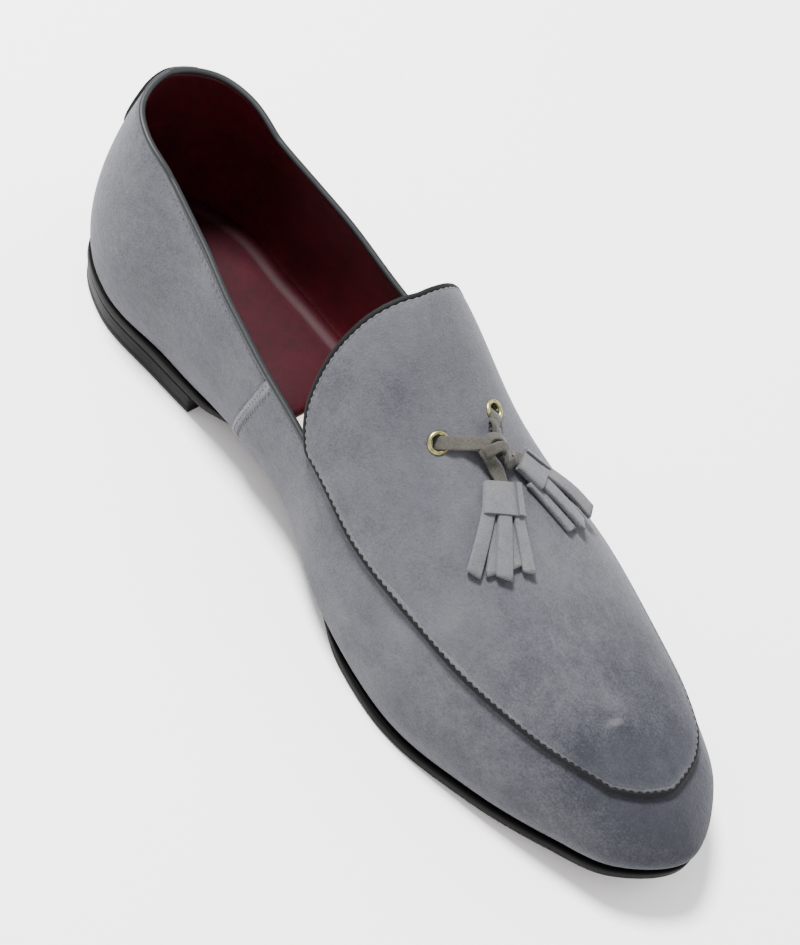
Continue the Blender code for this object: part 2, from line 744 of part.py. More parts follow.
def build_eyelet(side, finish):
    """Turned brass ring on top of the apron."""
    x, y = EYELET_AT[side]
    base, normal = over_apron(x, y, GAP)
    low, high = 0.0, EYELET_HEIGHT
    middle = (EYELET_RADIUS + EYELET_HOLE) / 2
    profile = ((EYELET_HOLE, low), (EYELET_RADIUS, low), (EYELET_RADIUS - 0.3, 0.5 * high),
               (middle, high), (EYELET_HOLE + 0.2, 0.6 * high))
    shape = bmesh.new()
    verts = [shape.verts.new((r, 0.0, z)) for r, z in profile]
    edges = [shape.edges.new((verts[i - 1], verts[i])) for i in range(len(verts))]
    bmesh.ops.spin(shape, geom=verts + edges, cent=(0, 0, 0), axis=(0, 0, 1),
                   angle=2 * math.pi, steps=16, use_merge=True)
    bmesh.ops.remove_doubles(shape, verts=shape.verts, dist=0.01)
    turn = Vector(normal).to_track_quat("Z", "Y")
    points = [turn @ vert.co + Vector(base) for vert in shape.verts]
    shape.verts.index_update()
    faces = [[vert.index for vert in face.verts] for face in shape.faces]
    shape.free()
    return add_object("eyelet_" + SIDE_NAMES[side], points, faces, finish)


def route(points):
    """Smooth path over the apron through rows of x, y and height, with its normals."""
    points = np.array(points, float)
    ends = [2 * points[0] - points[1]] + list(points) + [2 * points[-1] - points[-2]]
    places = curve_through(ends, 2)
    made = [over_apron(x, y, lift) for x, y, lift in places]
    return [point for point, _ in made], [normal for _, normal in made]


RING_TOP = GAP + EYELET_HEIGHT
KNOT_LIFT = GAP + KNOT_RISE + KNOT_TUBE
HEAD_LIFT = 0.6


def build_bar(side, finish):
    """Thong from an eyelet's hole, over its ring, down to the apron and up to the knot."""
    start = np.array(EYELET_AT[side])
    to_knot = np.array(KNOT_AT) - start
    reach = np.linalg.norm(to_knot)
    ahead = to_knot / reach
    over_ring = RING_TOP + GAP + THONG_THICKNESS / 2
    rest = GAP + THONG_THICKNESS / 2
    knot_radius = 3 * KNOT_SIZE + KNOT_TUBE
    stops = ((0.5, over_ring + 0.3), (EYELET_RADIUS, over_ring + 0.25),
             (EYELET_RADIUS + 2.2, rest + 1.2), (reach - knot_radius - GAP - 0.1, rest + 1.4))
    path, normals = route([(*(start + ahead * distance), lift) for distance, lift in stops])
    rings = strap_rings(path, normals, THONG_WIDTH, THONG_THICKNESS)
    return add_loft("lace_bar_" + SIDE_NAMES[side], rings, finish)


def cord_object(name, points, radius, finish):
    """Round tube through points in millimetres."""
    curve = bpy.data.curves.new(name, "CURVE")
    curve.dimensions = "3D"
    curve.bevel_depth = radius * MM
    curve.bevel_resolution = 2
    curve.use_fill_caps = True
    spline = curve.splines.new("POLY")
    spline.points.add(len(points) - 1)
    for point, co in zip(spline.points, points):
        point.co = ((co[0] - ORIGIN_X) * MM, co[1] * MM, co[2] * MM, 1.0)
    curve.materials.append(finish)
    made = bpy.data.objects.new(name, curve)
    bpy.context.scene.collection.objects.link(made)
    return made


def knot_frame():
    """Centre of the knot and its directions: ahead, across and up."""
    centre, up = over_apron(*KNOT_AT, KNOT_LIFT)
    up = Vector(up)
    across = up.cross(Vector((1, 0, 0))).normalized()
    return Vector(centre), across.cross(up), across, up


def build_knot(finish):
    """Overhand knot: three crossing turns that don't touch."""
    centre, ahead, across, up = knot_frame()
    points = []
    for t in np.linspace(0.12, 2 * math.pi - 0.12, 36):
        u = KNOT_SIZE * (math.sin(t) + 2 * math.sin(2 * t))
        v = KNOT_SIZE * (math.cos(t) - 2 * math.cos(2 * t))
        w = -KNOT_RISE * math.sin(3 * t)
        points.append(centre + ahead * u + across * v + up * w)
    return cord_object("lace_knot", points, KNOT_TUBE, finish)


def build_end(side, finish):
    """Short end of the thong from the knot to the head of a tassel."""
    knot = np.array(KNOT_AT)
    head = np.array(TASSELS[side][0])
    reach = np.linalg.norm(head - knot)
    ahead = (head - knot) / reach
    first = 3 * KNOT_SIZE + KNOT_TUBE + GAP
    head_lift = HEAD_LIFT + HEAD_THICKNESS / 2
    stops = ((first, KNOT_LIFT), ((first + reach) / 2, (KNOT_LIFT + head_lift) / 2),
             (reach - GAP - 0.25, head_lift))
    points = [over_apron(*(knot + ahead * distance), lift)[0] for distance, lift in stops]
    return cord_object("lace_end_" + SIDE_NAMES[side], points, END_RADIUS, finish)


def tassel_head(name, start, ahead, finish):
    """Rolled band of the tassel, lying on the apron."""
    lift = HEAD_LIFT + HEAD_THICKNESS / 2
    path, normals = [], []
    for share in (0.0, 0.5, 1.0):
        point, normal = over_apron(*(start + ahead * HEAD_LENGTH * share), lift)
        path.append(point)
        normals.append(normal)
    rings = tube_rings(path, normals, HEAD_WIDTH / 2, HEAD_THICKNESS / 2, 10)
    return add_loft(name, rings, finish)


def tassel_strip(name, root, tip, lift, finish):
    """One flat strip of the fringe, from inside the head to its own tip."""
    path, normals = [], []
    for share in (0.0, 0.34, 0.67, 1.0):
        point, normal = over_apron(*(root + (tip - root) * share), lift)
        path.append(point)
        normals.append(normal)
    return add_loft(name, strap_rings(path, normals, STRIP_WIDTH, STRIP_THICKNESS), finish)


def build_tassel(side, finish):
    """Head and five strips, three over two, joined into one solid."""
    start, ahead, middle_tip, spread = (np.array(value) for value in TASSELS[side])
    ahead = ahead / np.linalg.norm(ahead)
    across = np.array((-ahead[1], ahead[0]))
    foot = start + ahead * (HEAD_LENGTH - 2.0)
    fan = (middle_tip - foot) / np.linalg.norm(middle_tip - foot)
    fan_across = np.array((-fan[1], fan[0]))
    name = "tassel_" + SIDE_NAMES[side]
    head = tassel_head(name, start, ahead, finish)
    low = GAP + 0.4 + STRIP_THICKNESS / 2
    high = low + STRIP_THICKNESS + 0.3
    for number, (offset, share, layer) in enumerate(STRIPS):
        tip = middle_tip + fan_across * spread * share - fan * spread * abs(share) * 0.25
        strip = tassel_strip(name + "_strip", foot + across * offset, tip, (low, high)[layer], finish)
        strip.hide_render = True
        strip.display_type = "WIRE"
        join = head.modifiers.new("strip_%d" % number, "BOOLEAN")
        join.operation = "UNION"
        join.solver = "EXACT"
        join.object = strip
    return head


def clear_scene():
    for old in list(bpy.data.objects):
        bpy.data.objects.remove(old, do_unlink=True)


def main():
    clear_scene()
    grey_suede = material("grey_suede", (0.25, 0.25, 0.27), 0.95)
    grey_thong = material("grey_thong", (0.17, 0.165, 0.16), 0.95)
    charcoal_cord = material("charcoal_cord", (0.045, 0.047, 0.052), 0.7)
    charcoal_binding = material("charcoal_binding", (0.09, 0.092, 0.1), 0.5)
    black_edge = material("black_sole_edge", (0.012, 0.012, 0.013), 0.4)
    black_heel = material("black_heel", (0.01, 0.01, 0.011), 0.4)
    cream_lining = material("cream_lining", (0.68, 0.63, 0.56), 0.8)
    oxblood_sock = material("oxblood_sock", (0.08, 0.006, 0.01), 0.3)
    old_brass = material("old_brass", (0.45, 0.38, 0.2), 0.35, 1.0)
    build_outsole(black_edge)
    build_heel(black_heel)
    build_insole(cream_lining)
    build_sock(oxblood_sock)
    build_upper(grey_suede)
    build_apron(grey_suede)
    build_piping(charcoal_cord)
    build_binding(charcoal_binding)
    build_heel_tab(grey_suede)
    build_knot(grey_thong)
    for side in (MEDIAL, LATERAL):
        build_eyelet(side, old_brass)
        build_bar(side, grey_thong)
        build_end(side, grey_thong)
        build_tassel(side, grey_suede)


main()
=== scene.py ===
"""Tassel loafer for the left foot: suede, linings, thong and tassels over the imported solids.

The sizes and tables are in millimetres, with x measured from the back of the heel, as in the
source of the solids. Every piece is scaled to metres, with the origin under the heel.

A point on the last is given by its side, its key and its angle. The key is x along the middle
of the foot, and turns into a fan angle round the heel and the toe. The angle runs from 0 at
the feather edge, where the upper meets the sole, to a quarter turn at the ridge of the instep.
"""

import math

import bmesh
import bpy
import numpy as np
from mathutils import Matrix, Vector


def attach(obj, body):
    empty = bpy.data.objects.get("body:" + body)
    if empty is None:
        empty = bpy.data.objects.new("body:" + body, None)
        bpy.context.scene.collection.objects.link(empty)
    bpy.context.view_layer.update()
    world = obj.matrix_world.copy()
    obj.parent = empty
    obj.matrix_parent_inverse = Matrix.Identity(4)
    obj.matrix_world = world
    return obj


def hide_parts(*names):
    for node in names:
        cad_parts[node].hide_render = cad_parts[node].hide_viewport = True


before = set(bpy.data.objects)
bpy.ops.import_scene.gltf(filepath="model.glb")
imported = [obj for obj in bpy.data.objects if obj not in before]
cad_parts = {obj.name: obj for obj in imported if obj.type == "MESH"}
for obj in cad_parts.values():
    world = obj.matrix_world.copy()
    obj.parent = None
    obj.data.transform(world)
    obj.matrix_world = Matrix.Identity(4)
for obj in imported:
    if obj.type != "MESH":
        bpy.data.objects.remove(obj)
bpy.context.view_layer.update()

MM = 0.001
MEDIAL, LATERAL = -1, 1
SIDE_NAMES = {MEDIAL: "medial", LATERAL: "lateral"}
RIDGE = math.pi / 2

# The last and the sole, as in the source of the solids
LENGTH = 292.0
TIP_Y = -2.0
ORIGIN_X = 38.0
GAP = 0.3
WALL = 2.0
APRON_THICKNESS = 1.4
TONGUE_RISE = 0.35
SOLE_THICKNESS = 4.5
HEEL_BREAST = 76.0
HEEL_TAPER = 1.2
PIPING_RADIUS = 0.95
BINDING_HEIGHT = 2.8
BINDING_STOP_KEY = 135.0
ROLL = 1.5
QUARTER_STOP_KEY = 112.0
QUARTER_LINING_STOP_KEY = 136.0
FOREPART_LINING_KEY = 132.0
TAB_HALF_WIDTH = 13.0
TAB_FOOT_SHARE = 0.58
INSOLE_THICKNESS = 2.6
SOCK_END = 102.5
SOCK_RUN_OUT = 14.0
WAIST_TUCK = 5.0
TUCK_FROM, TUCK_TO = 80.0, 178.0
TUCK_RUN_IN, TUCK_RUN_OUT = 16.0, 30.0
EYELET_RADIUS = 3.8
EYELET_HEIGHT = 0.9
EYELET_HOLE_RADIUS = 2.9
KNOT_LIFT = 3.5
TEETH = 186

OUTLINE_COLUMNS = ("x", "medial", "lateral")
OUTLINE = (
    (8, 19.8, 19.7),
    (30, 29.7, 30.6),
    (60, 28.5, 32.1),
    (95, 25.8, 32.4),
    (125, 26.2, 35.4),
    (160, 38.0, 41.1),
    (200, 45.1, 46.3),
    (235, 39.0, 41.6),
    (262, 30.3, 32.2),
    (280, 21.7, 20.8),
)
SECTION_COLUMNS = ("x", "ridge_z", "ridge_y", "roundness", "swell_medial", "swell_lateral",
                   "edge_medial", "edge_lateral")
SECTIONS = (
    (0, 128.0, 0.0, 2.0, 4.0, 4.0, 1.0, 1.0),
    (20, 114.0, 0.0, 1.9, 4.0, 4.0, 1.0, 1.0),
    (40, 101.0, 0.0, 1.8, 3.8, 3.8, 1.0, 1.0),
    (60, 105.0, 1.0, 1.9, 4.0, 4.0, 1.7, 1.2),
    (80, 109.5, 2.0, 2.1, 5.2, 4.4, 1.1, 1.5),
    (120, 98.2, 3.5, 2.45, 7.4, 4.5, 0.6, 1.5),
    (160, 69.8, 2.3, 2.35, 5.6, 3.5, 1.1, 1.5),
    (200, 55.6, 1.0, 2.25, 3.0, 3.0, 2.0, 2.0),
    (235, 45.2, -0.8, 2.2, 2.5, 2.5, 2.0, 2.0),
    (262, 39.9, -2.0, 2.3, 2.5, 2.5, 2.0, 2.0),
    (292, 33.6, -2.0, 2.4, 2.5, 2.5, 2.0, 2.0),
)
FEATHER_COLUMNS = ("x", "z")
FEATHER = (
    (0, 14.4),
    (80, 14.4),
    (120, 11.8),
    (150, 6.8),
    (172, 4.8),
    (205, 4.8),
    (235, 7.2),
    (262, 11.5),
    (292, 17.1),
)
HEEL_SPINE_X, TOE_SPINE_X = 38.0, 262.0
HEEL_FAN, TOE_FAN = 38.0, 36.0
FIRST_KEY = HEEL_SPINE_X - HEEL_FAN * RIDGE
LAST_KEY = TOE_SPINE_X + TOE_FAN * RIDGE
COLLAR_COLUMNS = ("key", "medial", "lateral")
COLLAR = (
    (FIRST_KEY, 84.5, 84.5),
    (6, 82.0, 81.0),
    (30, 78.5, 76.5),
    (60, 69.5, 67.5),
    (100, 57.8, 55.8),
    (131, 50.6, 49.6),
)
CORNER_KEY = 131.0
THROAT_KEY = 168.0
SEAM_COLUMNS = ("key", "medial", "lateral")
SEAM = (
    (131, 0.463, 0.470),
    (150, 0.575, 0.560),
    (170, 0.652, 0.615),
    (191, 0.734, 0.660),
    (224, 0.828, 0.700),
    (246, 0.915, 0.735),
    (256, 1.005, 0.800),
    (270, 1.120, 1.005),
    (285, 1.200, 1.130),
    (300, 1.250, 1.230),
    (LAST_KEY, 1.270, 1.270),
)
TONGUE_COLUMNS = ("angle", "medial", "lateral")
TONGUE = (
    (0.549, 123.6, 126.5),
    (0.767, 119.6, 123.4),
    (1.061, 119.2, 122.6),
    (1.400, 121.3, 122.8),
    (RIDGE, 122.6, 122.6),
)
WRAP_EDGE_COLUMNS = ("angle", "key")
WRAP_EDGE = (
    (0.0, 95.5),
    (0.25, 101.5),
    (0.5, 105.5),
)
WRAP_EDGE_KEY = 101.0
WRAP_STEP = 0.8
WRAP_STEP_LENGTH = 25.0
EYELET_AT = {MEDIAL: (155.0, -8.1), LATERAL: (154.6, 14.4)}
KNOT_AT = (163.4, 5.6)

# Patches of wax rubbed into the nap at the toe, of painted shade down the lateral side and past the
# lateral tassel, and of painted highlight on the toe's ridge where the amount is below zero. Each row is
# x, y, turn in degrees, length, width and amount.
WAX_AND_PAINTED_LIGHT = (
    (268, 2, 0, 37, 34, 0.92),
    (258, -18, 30, 17, 11, 0.45),
    (282, 4, 90, 30, 16, 0.25),
    # painted shade down the lateral side of the apron
    (232, 30, 20, 40, 14, 0.22),
    # painted shade round and past the lateral tassel's tips
    (205, 24, 10, 22, 12, 0.12),
    (215, -46, 0, 34, 9, 0.20),
    # painted highlight on the toe's ridge
    (243, -3, 40, 9, 4, -0.30),
    (150, 30, 0, 24, 12, 0.15),
    (20, -22, 60, 20, 10, 0.18),
    (66, -36, 0, 60, 14, 0.20),
    (140, -42, 0, 36, 12, 0.16),
    # small painted highlight on the toe's ridge
    (249, -6, 70, 2.2, 0.9, -1.3),
)

# The camera stands where the photographer stood, and is turned to frame the one shoe
CAMERA_AT = (281.2, -327.45, 518.49)
CAMERA_RIGHT = (0.62407, 0.73303, 0.27055)
CAMERA_UP = (-0.72681, 0.41748, 0.54539)
CAMERA_LENS = 73.6

# Each light is a name, a place and a size in metres, and a power in watts
LIGHT_AIM = (0.1, 0.0, 0.03)
LIGHTS = (
    ("key", (-0.45, -0.08, 1.2), 0.34, 60.0),
    ("fill", (0.75, -0.9, 0.9), 1.4, 1.2),
    ("far_side", (0.6, 1.1, 0.8), 1.2, 8.0),
)


def column(names, rows, name, at):
    """Smooth monotone curve through one column of a table, read at values of its first column."""
    xs = np.array([row[0] for row in rows], float)
    ys = np.array([row[names.index(name)] for row in rows], float)
    step, rise = np.diff(xs), np.diff(ys) / np.diff(xs)
    slope = np.zeros(len(xs))
    slope[0], slope[-1] = rise[0], rise[-1]
    for i in range(1, len(xs) - 1):
        if rise[i - 1] * rise[i] > 0:
            before, after = 2 * step[i] + step[i - 1], step[i] + 2 * step[i - 1]
            slope[i] = (before + after) / (before / rise[i - 1] + after / rise[i])
    at = np.clip(at, xs[0], xs[-1])
    i = np.clip(np.searchsorted(xs, at) - 1, 0, len(xs) - 2)
    t = (at - xs[i]) / step[i]
    low = ys[i] * (1 + 2 * t) * (1 - t) ** 2 + step[i] * slope[i] * t * (1 - t) ** 2
    high = ys[i + 1] * t * t * (3 - 2 * t) + step[i] * slope[i + 1] * t * t * (t - 1)
    return low + high


def section(name, x):
    """One measure of the last's cross sections."""
    return column(SECTION_COLUMNS, SECTIONS, name, x)


def feather_z(x):
    """Height of the feather edge: level heel, arch, tread and toe spring."""
    return column(FEATHER_COLUMNS, FEATHER, "z", x)


def curve_through(points, count):
    """Points along a centripetal curve through the second to the last but one of the points."""
    points = np.array(points, float)
    out = []
    for i in range(1, len(points) - 2):
        four = points[i - 1:i + 3]
        knots = [0.0]
        for j in range(3):
            knots.append(knots[-1] + math.sqrt(np.linalg.norm(four[j + 1] - four[j])))
        for t in np.linspace(knots[1], knots[2], count, endpoint=False):
            level = list(four)
            for span in (1, 2, 3):
                for j in range(4 - span):
                    low, high = knots[j], knots[j + span]
                    if span == 3:
                        low, high = knots[1], knots[2]
                    level[j] = ((high - t) * level[j] + (t - low) * level[j + 1]) / (high - low)
            out.append(level[0])
    out.append(points[-2])
    return np.array(out)


def outline(side, inset=0.0):
    """Half of the sole's outline, heel to toe, moved inwards by a number or by a value each."""
    own, other = ("medial", "lateral") if side == MEDIAL else ("lateral", "medial")
    own = OUTLINE_COLUMNS.index(own)
    other = OUTLINE_COLUMNS.index(other)
    near = [(row[0], side * row[own]) for row in OUTLINE]
    first, last = OUTLINE[0], OUTLINE[-1]
    points = [(first[0], -side * first[other]), (0.0, 0.0)] + near
    points += [(LENGTH, TIP_Y), (last[0], -side * last[other])]
    points = curve_through(points, 60)
    along = np.gradient(points, axis=0)
    inwards = np.stack([along[:, 1], -along[:, 0]], 1) * side
    inwards /= np.linalg.norm(inwards, axis=1)[:, None]
    inwards[0], inwards[-1] = (1, 0), (-1, 0)
    amount = inset(points[:, 0]) if callable(inset) else np.full(len(points), float(inset))
    return points + inwards * amount[:, None]


def key_of(points, side):
    """Station key of points given by x and y."""
    key = points[:, 0].copy()
    middle = section("ridge_y", np.array([HEEL_SPINE_X, TOE_SPINE_X]))
    ahead = points[:, 0] - TOE_SPINE_X
    turn = np.arctan2(ahead, side * (points[:, 1] - middle[1]))
    key[ahead > 0] = (TOE_SPINE_X + TOE_FAN * turn)[ahead > 0]
    behind = HEEL_SPINE_X - points[:, 0]
    turn = np.arctan2(behind, side * (points[:, 1] - middle[0]))
    key[behind > 0] = (HEEL_SPINE_X - HEEL_FAN * turn)[behind > 0]
    return key


def feather_table(side):
    """Keys and points of the feather edge, which lies inside the sole's outline."""
    name = "edge_" + SIDE_NAMES[side]
    points = outline(side, lambda x: section(name, x))
    key = key_of(points, side)
    key[0], key[-1] = FIRST_KEY, LAST_KEY
    return key, points


FEATHER_EDGE = {side: feather_table(side) for side in (MEDIAL, LATERAL)}


def by_side(side, value):
    """Values of a function of the side, which may differ from point to point."""
    medial, lateral = value(MEDIAL), value(LATERAL)
    chosen = side == MEDIAL
    if np.ndim(medial) > np.ndim(chosen):
        chosen = chosen[..., None]
    return np.where(chosen, medial, lateral)


def halves(share):
    """Side, and distance from the middle, for shares that run over both sides of the shoe."""
    return np.where(share <= 0.5, MEDIAL, LATERAL), np.abs(2 * share - 1)


def last_point(side, key, angle):
    """Point of the last's surface."""
    key, angle = np.broadcast_arrays(np.asarray(key, float), np.asarray(angle, float))
    keys, points = FEATHER_EDGE[side]
    foot = np.stack([np.interp(key, keys, points[:, 0]), np.interp(key, keys, points[:, 1])], -1)
    spine_x = np.clip(key, HEEL_SPINE_X, TOE_SPINE_X)
    spine = np.stack([spine_x, section("ridge_y", spine_x)], -1)
    x = foot[..., 0]
    reach = np.linalg.norm(spine - foot, axis=-1)
    inwards = (spine - foot) / reach[..., None]
    power = 2 / section("roundness", x)
    height = np.sin(angle) ** power
    side_in = reach * (1 - np.maximum(np.cos(angle), 0) ** power)
    start = 0.03 ** 0.6
    swell_at = ((height + 0.03) ** 0.6 - start) / (1.03 ** 0.6 - start)
    swell = section("swell_" + SIDE_NAMES[side], x) * np.sin(math.pi * swell_at)
    flat = foot + inwards * (side_in - swell)[..., None]
    top = section("ridge_z", np.where(key < HEEL_SPINE_X, x, spine_x))
    slope = (section("ridge_z", TOE_SPINE_X) - section("ridge_z", TOE_SPINE_X - 4.0)) / 4.0
    fall = np.where(key > TOE_SPINE_X, slope * (flat[..., 0] - TOE_SPINE_X), 0.0)
    low = feather_z(x)
    return np.concatenate([flat, (low + (top - low + fall) * height)[..., None]], -1)


def last_normal(side, key, angle):
    """Outward direction: level at the feather edge, and shared by both sides at the middle."""
    key, angle = np.broadcast_arrays(np.asarray(key, float), np.asarray(angle, float))
    small = 0.4
    before = last_point(side, np.maximum(key - small, FIRST_KEY), angle)
    after = last_point(side, np.minimum(key + small, LAST_KEY), angle)
    low = last_point(side, key, np.maximum(angle - 0.01, 0.0))
    high = last_point(side, key, np.minimum(angle + 0.01, RIDGE))
    normal = np.cross(after - before, high - low) * -side
    spine_x = np.clip(key, HEEL_SPINE_X, TOE_SPINE_X)
    slope = (section("ridge_z", spine_x + 1.0) - section("ridge_z", spine_x - 1.0)) / 2.0
    up = np.stack([-slope, np.zeros_like(slope), np.ones_like(slope)], -1)
    up /= np.linalg.norm(up, axis=-1)[..., None]
    length = np.linalg.norm(normal, axis=-1)[..., None]
    normal = np.where(length > 1e-9, normal / np.maximum(length, 1e-9), up)
    to_ridge = np.clip((angle - RIDGE + 0.2) / 0.2, 0, 1)[..., None]
    normal = normal * (1 - to_ridge) + up * to_ridge
    normal[..., 2] *= np.clip(angle / 0.2, 0, 1)
    middle = (key <= FIRST_KEY + 1e-6) | (key >= LAST_KEY - 1e-6)
    normal[..., 1] = np.where(middle, 0.0, normal[..., 1])
    return normal / np.linalg.norm(normal, axis=-1)[..., None]


def facing_on_last(side, key, angle):
    """Outward directions, on a side that may differ from point to point."""
    return by_side(side, lambda one: last_normal(one, key, angle))


def on_last(side, key, angle, lift):
    """Points at a height above the last, on a side that may differ from point to point."""
    points = by_side(side, lambda one: last_point(one, key, angle))
    return points + facing_on_last(side, key, angle) * np.broadcast_to(lift, points.shape[:-1])[..., None]


def apron_lift(key):
    """Height of the apron's underside above the last; the tongue rises clear of the quarters."""
    return GAP + TONGUE_RISE * np.clip((THROAT_KEY + 8.0 - key) / 16.0, 0, 1)


def over_apron(x, y, height):
    """Point at a height above the apron over x, y, and the outward direction there."""
    side = MEDIAL if y < section("ridge_y", x) else LATERAL
    angles = np.linspace(0.5, RIDGE, 300)
    points = last_point(side, np.full(300, float(x)), angles)
    angle = np.interp(side * -y, side * -points[:, 1], angles)
    normal = last_normal(side, x, angle)
    lift = apron_lift(x) + APRON_THICKNESS + height
    return last_point(side, x, angle) + normal * lift, normal


def seam_angle(side, key):
    """Angle of the apron's edge, with its two halves eased into one curve round the toe."""
    key = np.asarray(key, float)
    spread = np.clip((key - 215.0) / 40.0, 0, 1)
    total = 0.0
    for step, weight in zip((-21, -14, -7, 0, 7, 14, 21), (1, 6, 15, 20, 15, 6, 1)):
        behind_tip = LAST_KEY - key + step * spread
        at = LAST_KEY - np.abs(behind_tip)
        own = by_side(side, lambda one: column(SEAM_COLUMNS, SEAM, SIDE_NAMES[one], at))
        other = by_side(side, lambda one: column(SEAM_COLUMNS, SEAM, SIDE_NAMES[-one], at))
        total = total + weight / 64 * np.where(behind_tip < 0, other, own)
    return total


def collar_angle(side, key, lower):
    """Angle at which the wall reaches a distance below the collar's finished height."""
    def one_side(one):
        keys, points = FEATHER_EDGE[one]
        x = np.interp(key, keys, points[:, 0])
        height = column(COLLAR_COLUMNS, COLLAR, SIDE_NAMES[one], key) - lower
        low = feather_z(x)
        share = np.clip((height - low) / (section("ridge_z", x) - low), 0, 1)
        return np.arcsin(share ** (section("roundness", x) / 2))
    return by_side(side, one_side)


def top_angle(side, key, lower):
    """The wall's top edge: along the collar, then under the tongue to the ridge at the throat."""
    share = np.clip((key - CORNER_KEY) / (THROAT_KEY - CORNER_KEY), 0, 1)
    corner = collar_angle(side, np.full(np.shape(key), CORNER_KEY), lower)
    under_tongue = corner + (RIDGE - corner) * share ** 1.15
    return np.where(key < CORNER_KEY, collar_angle(side, key, lower), under_tongue)


# Shapes

def share_grid(columns, rows, place):
    """Grid with each point placed by its shares along and across, both from 0 to 1."""
    shape = bmesh.new()
    bmesh.ops.create_grid(shape, x_segments=columns, y_segments=rows, size=0.5)
    share = np.array([vert.co[:2] for vert in shape.verts]) + 0.5
    for vert, point in zip(shape.verts, place(share[:, 0], share[:, 1])):
        vert.co = point
    return shape


def patch_sum(points, rows):
    """Sum of oval patches; a row is x, y, turn in degrees, length, width and amount."""
    total = np.zeros(len(points))
    for x, y, turn, length, width, amount in rows:
        along = np.array((math.cos(math.radians(turn)), math.sin(math.radians(turn))))
        offset = points[:, :2] - (x, y)
        far, near = offset @ along, offset @ np.array((-along[1], along[0]))
        total += amount * np.exp(-(near / width) ** 2) * np.exp(-(far / length) ** 2)
    return total


def mark_nap(shape, wear=None):
    """Keeps how far the nap is rubbed light at each point, and its wax, painted shade and painted
    highlight from the patch table.
    """
    places = np.array([vert.co[:] for vert in shape.verts])
    worn = np.zeros(len(places)) if wear is None else wear(places)
    for name, values in (("wear", worn), ("wax_and_painted_light", patch_sum(places, WAX_AND_PAINTED_LIGHT))):
        layer = shape.verts.layers.float.new(name)
        for vert, amount in zip(shape.verts, values):
            vert[layer] = float(amount)


def close_up(shape, distance=0.02):
    """Merges points in one place, fills the open ends and turns the faces outwards."""
    bmesh.ops.remove_doubles(shape, verts=shape.verts, dist=distance)
    rims = [edge for edge in shape.edges if edge.is_boundary]
    if rims:
        bmesh.ops.holes_fill(shape, edges=rims, sides=0)
    bmesh.ops.recalc_face_normals(shape, faces=shape.faces)


def face_away(shape, inwards=False):
    """Turns a sheet round the last to face away from the foot, or towards it."""
    bmesh.ops.remove_doubles(shape, verts=shape.verts, dist=0.004)
    bmesh.ops.recalc_face_normals(shape, faces=shape.faces)
    total = 0.0
    for face in shape.faces:
        centre = face.calc_center_median()
        total += face.calc_area() * face.normal.dot(centre - Vector((centre.x, 0.0, 25.0)))
    if (total < 0) != inwards:
        bmesh.ops.reverse_faces(shape, faces=shape.faces)


def add_piece(name, shape, finishes, replaces=()):
    """Object at the origin, in metres, from a shape in millimetres."""
    bmesh.ops.translate(shape, verts=shape.verts, vec=(-ORIGIN_X, 0, 0))
    bmesh.ops.scale(shape, verts=shape.verts, vec=(MM, MM, MM))
    mesh = bpy.data.meshes.new(name)
    shape.to_mesh(mesh)
    shape.free()
    mesh.shade_smooth()
    for finish in finishes:
        mesh.materials.append(finish)
    piece = bpy.data.objects.new(name, mesh)
    bpy.context.scene.collection.objects.link(piece)
    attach(piece, "root")
    if replaces:
        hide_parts(*replaces)
    return piece


def thicken(piece, thickness, edge_finish=0, round_edge=0.0):
    """Thickness behind the sheet's face, with its cut edges in their own finish."""
    solid = piece.modifiers.new("thickness", "SOLIDIFY")
    solid.thickness = thickness * MM
    solid.offset = -1.0
    solid.material_offset_rim = edge_finish
    if round_edge:
        bevel = piece.modifiers.new("edge", "BEVEL")
        bevel.width = round_edge * MM
        bevel.segments = 2
        bevel.limit_method = "ANGLE"
        bevel.angle_limit = math.radians(50)


def unit(vectors):
    """Vectors scaled to a length of one."""
    return vectors / np.maximum(np.linalg.norm(vectors, axis=-1), 1e-12)[..., None]


def oval(width, height, power, count):
    """Points of a closed oval; a high power squares it off."""
    turn = 2 * math.pi * (np.arange(count) + 0.5) / count
    across = np.sign(np.cos(turn)) * np.abs(np.cos(turn)) ** (2 / power) * width / 2
    up = np.sign(np.sin(turn)) * np.abs(np.sin(turn)) ** (2 / power) * height / 2
    return np.stack([across, up], 1)


def sweep(path, normals, profile, closed=False, scale=None):
    """Skin of a profile, points across and up, carried along a path."""
    path, normals = np.array(path, float), unit(np.array(normals, float))
    if closed:
        along = np.roll(path, -1, 0) - np.roll(path, 1, 0)
    else:
        along = np.gradient(path, axis=0)
    across = unit(np.cross(unit(along), normals))
    up = np.cross(across, unit(along))
    scale = np.ones((len(path), 2)) if scale is None else np.array(scale, float)
    stations, corners = len(path), len(profile)

    def place(share_along, share_round):
        spans = stations if closed else stations - 1
        i = np.rint(share_along * spans).astype(int) % stations
        j = np.rint(share_round * corners).astype(int) % corners
        flat = profile[j] * scale[i]
        return path[i] + across[i] * flat[:, :1] + up[i] * flat[:, 1:]

    shape = share_grid(stations if closed else stations - 1, corners, place)
    close_up(shape, 0.004)
    return shape


def resample(points, count):
    """Rows spaced evenly by the length of their first three columns."""
    points = np.array(points, float)
    steps = np.linalg.norm(np.diff(points[:, :3], axis=0), axis=1)
    length = np.concatenate([[0.0], np.cumsum(steps)])
    at = np.linspace(0.0, length[-1], count)
    return np.stack([np.interp(at, length, values) for values in points.T], 1)


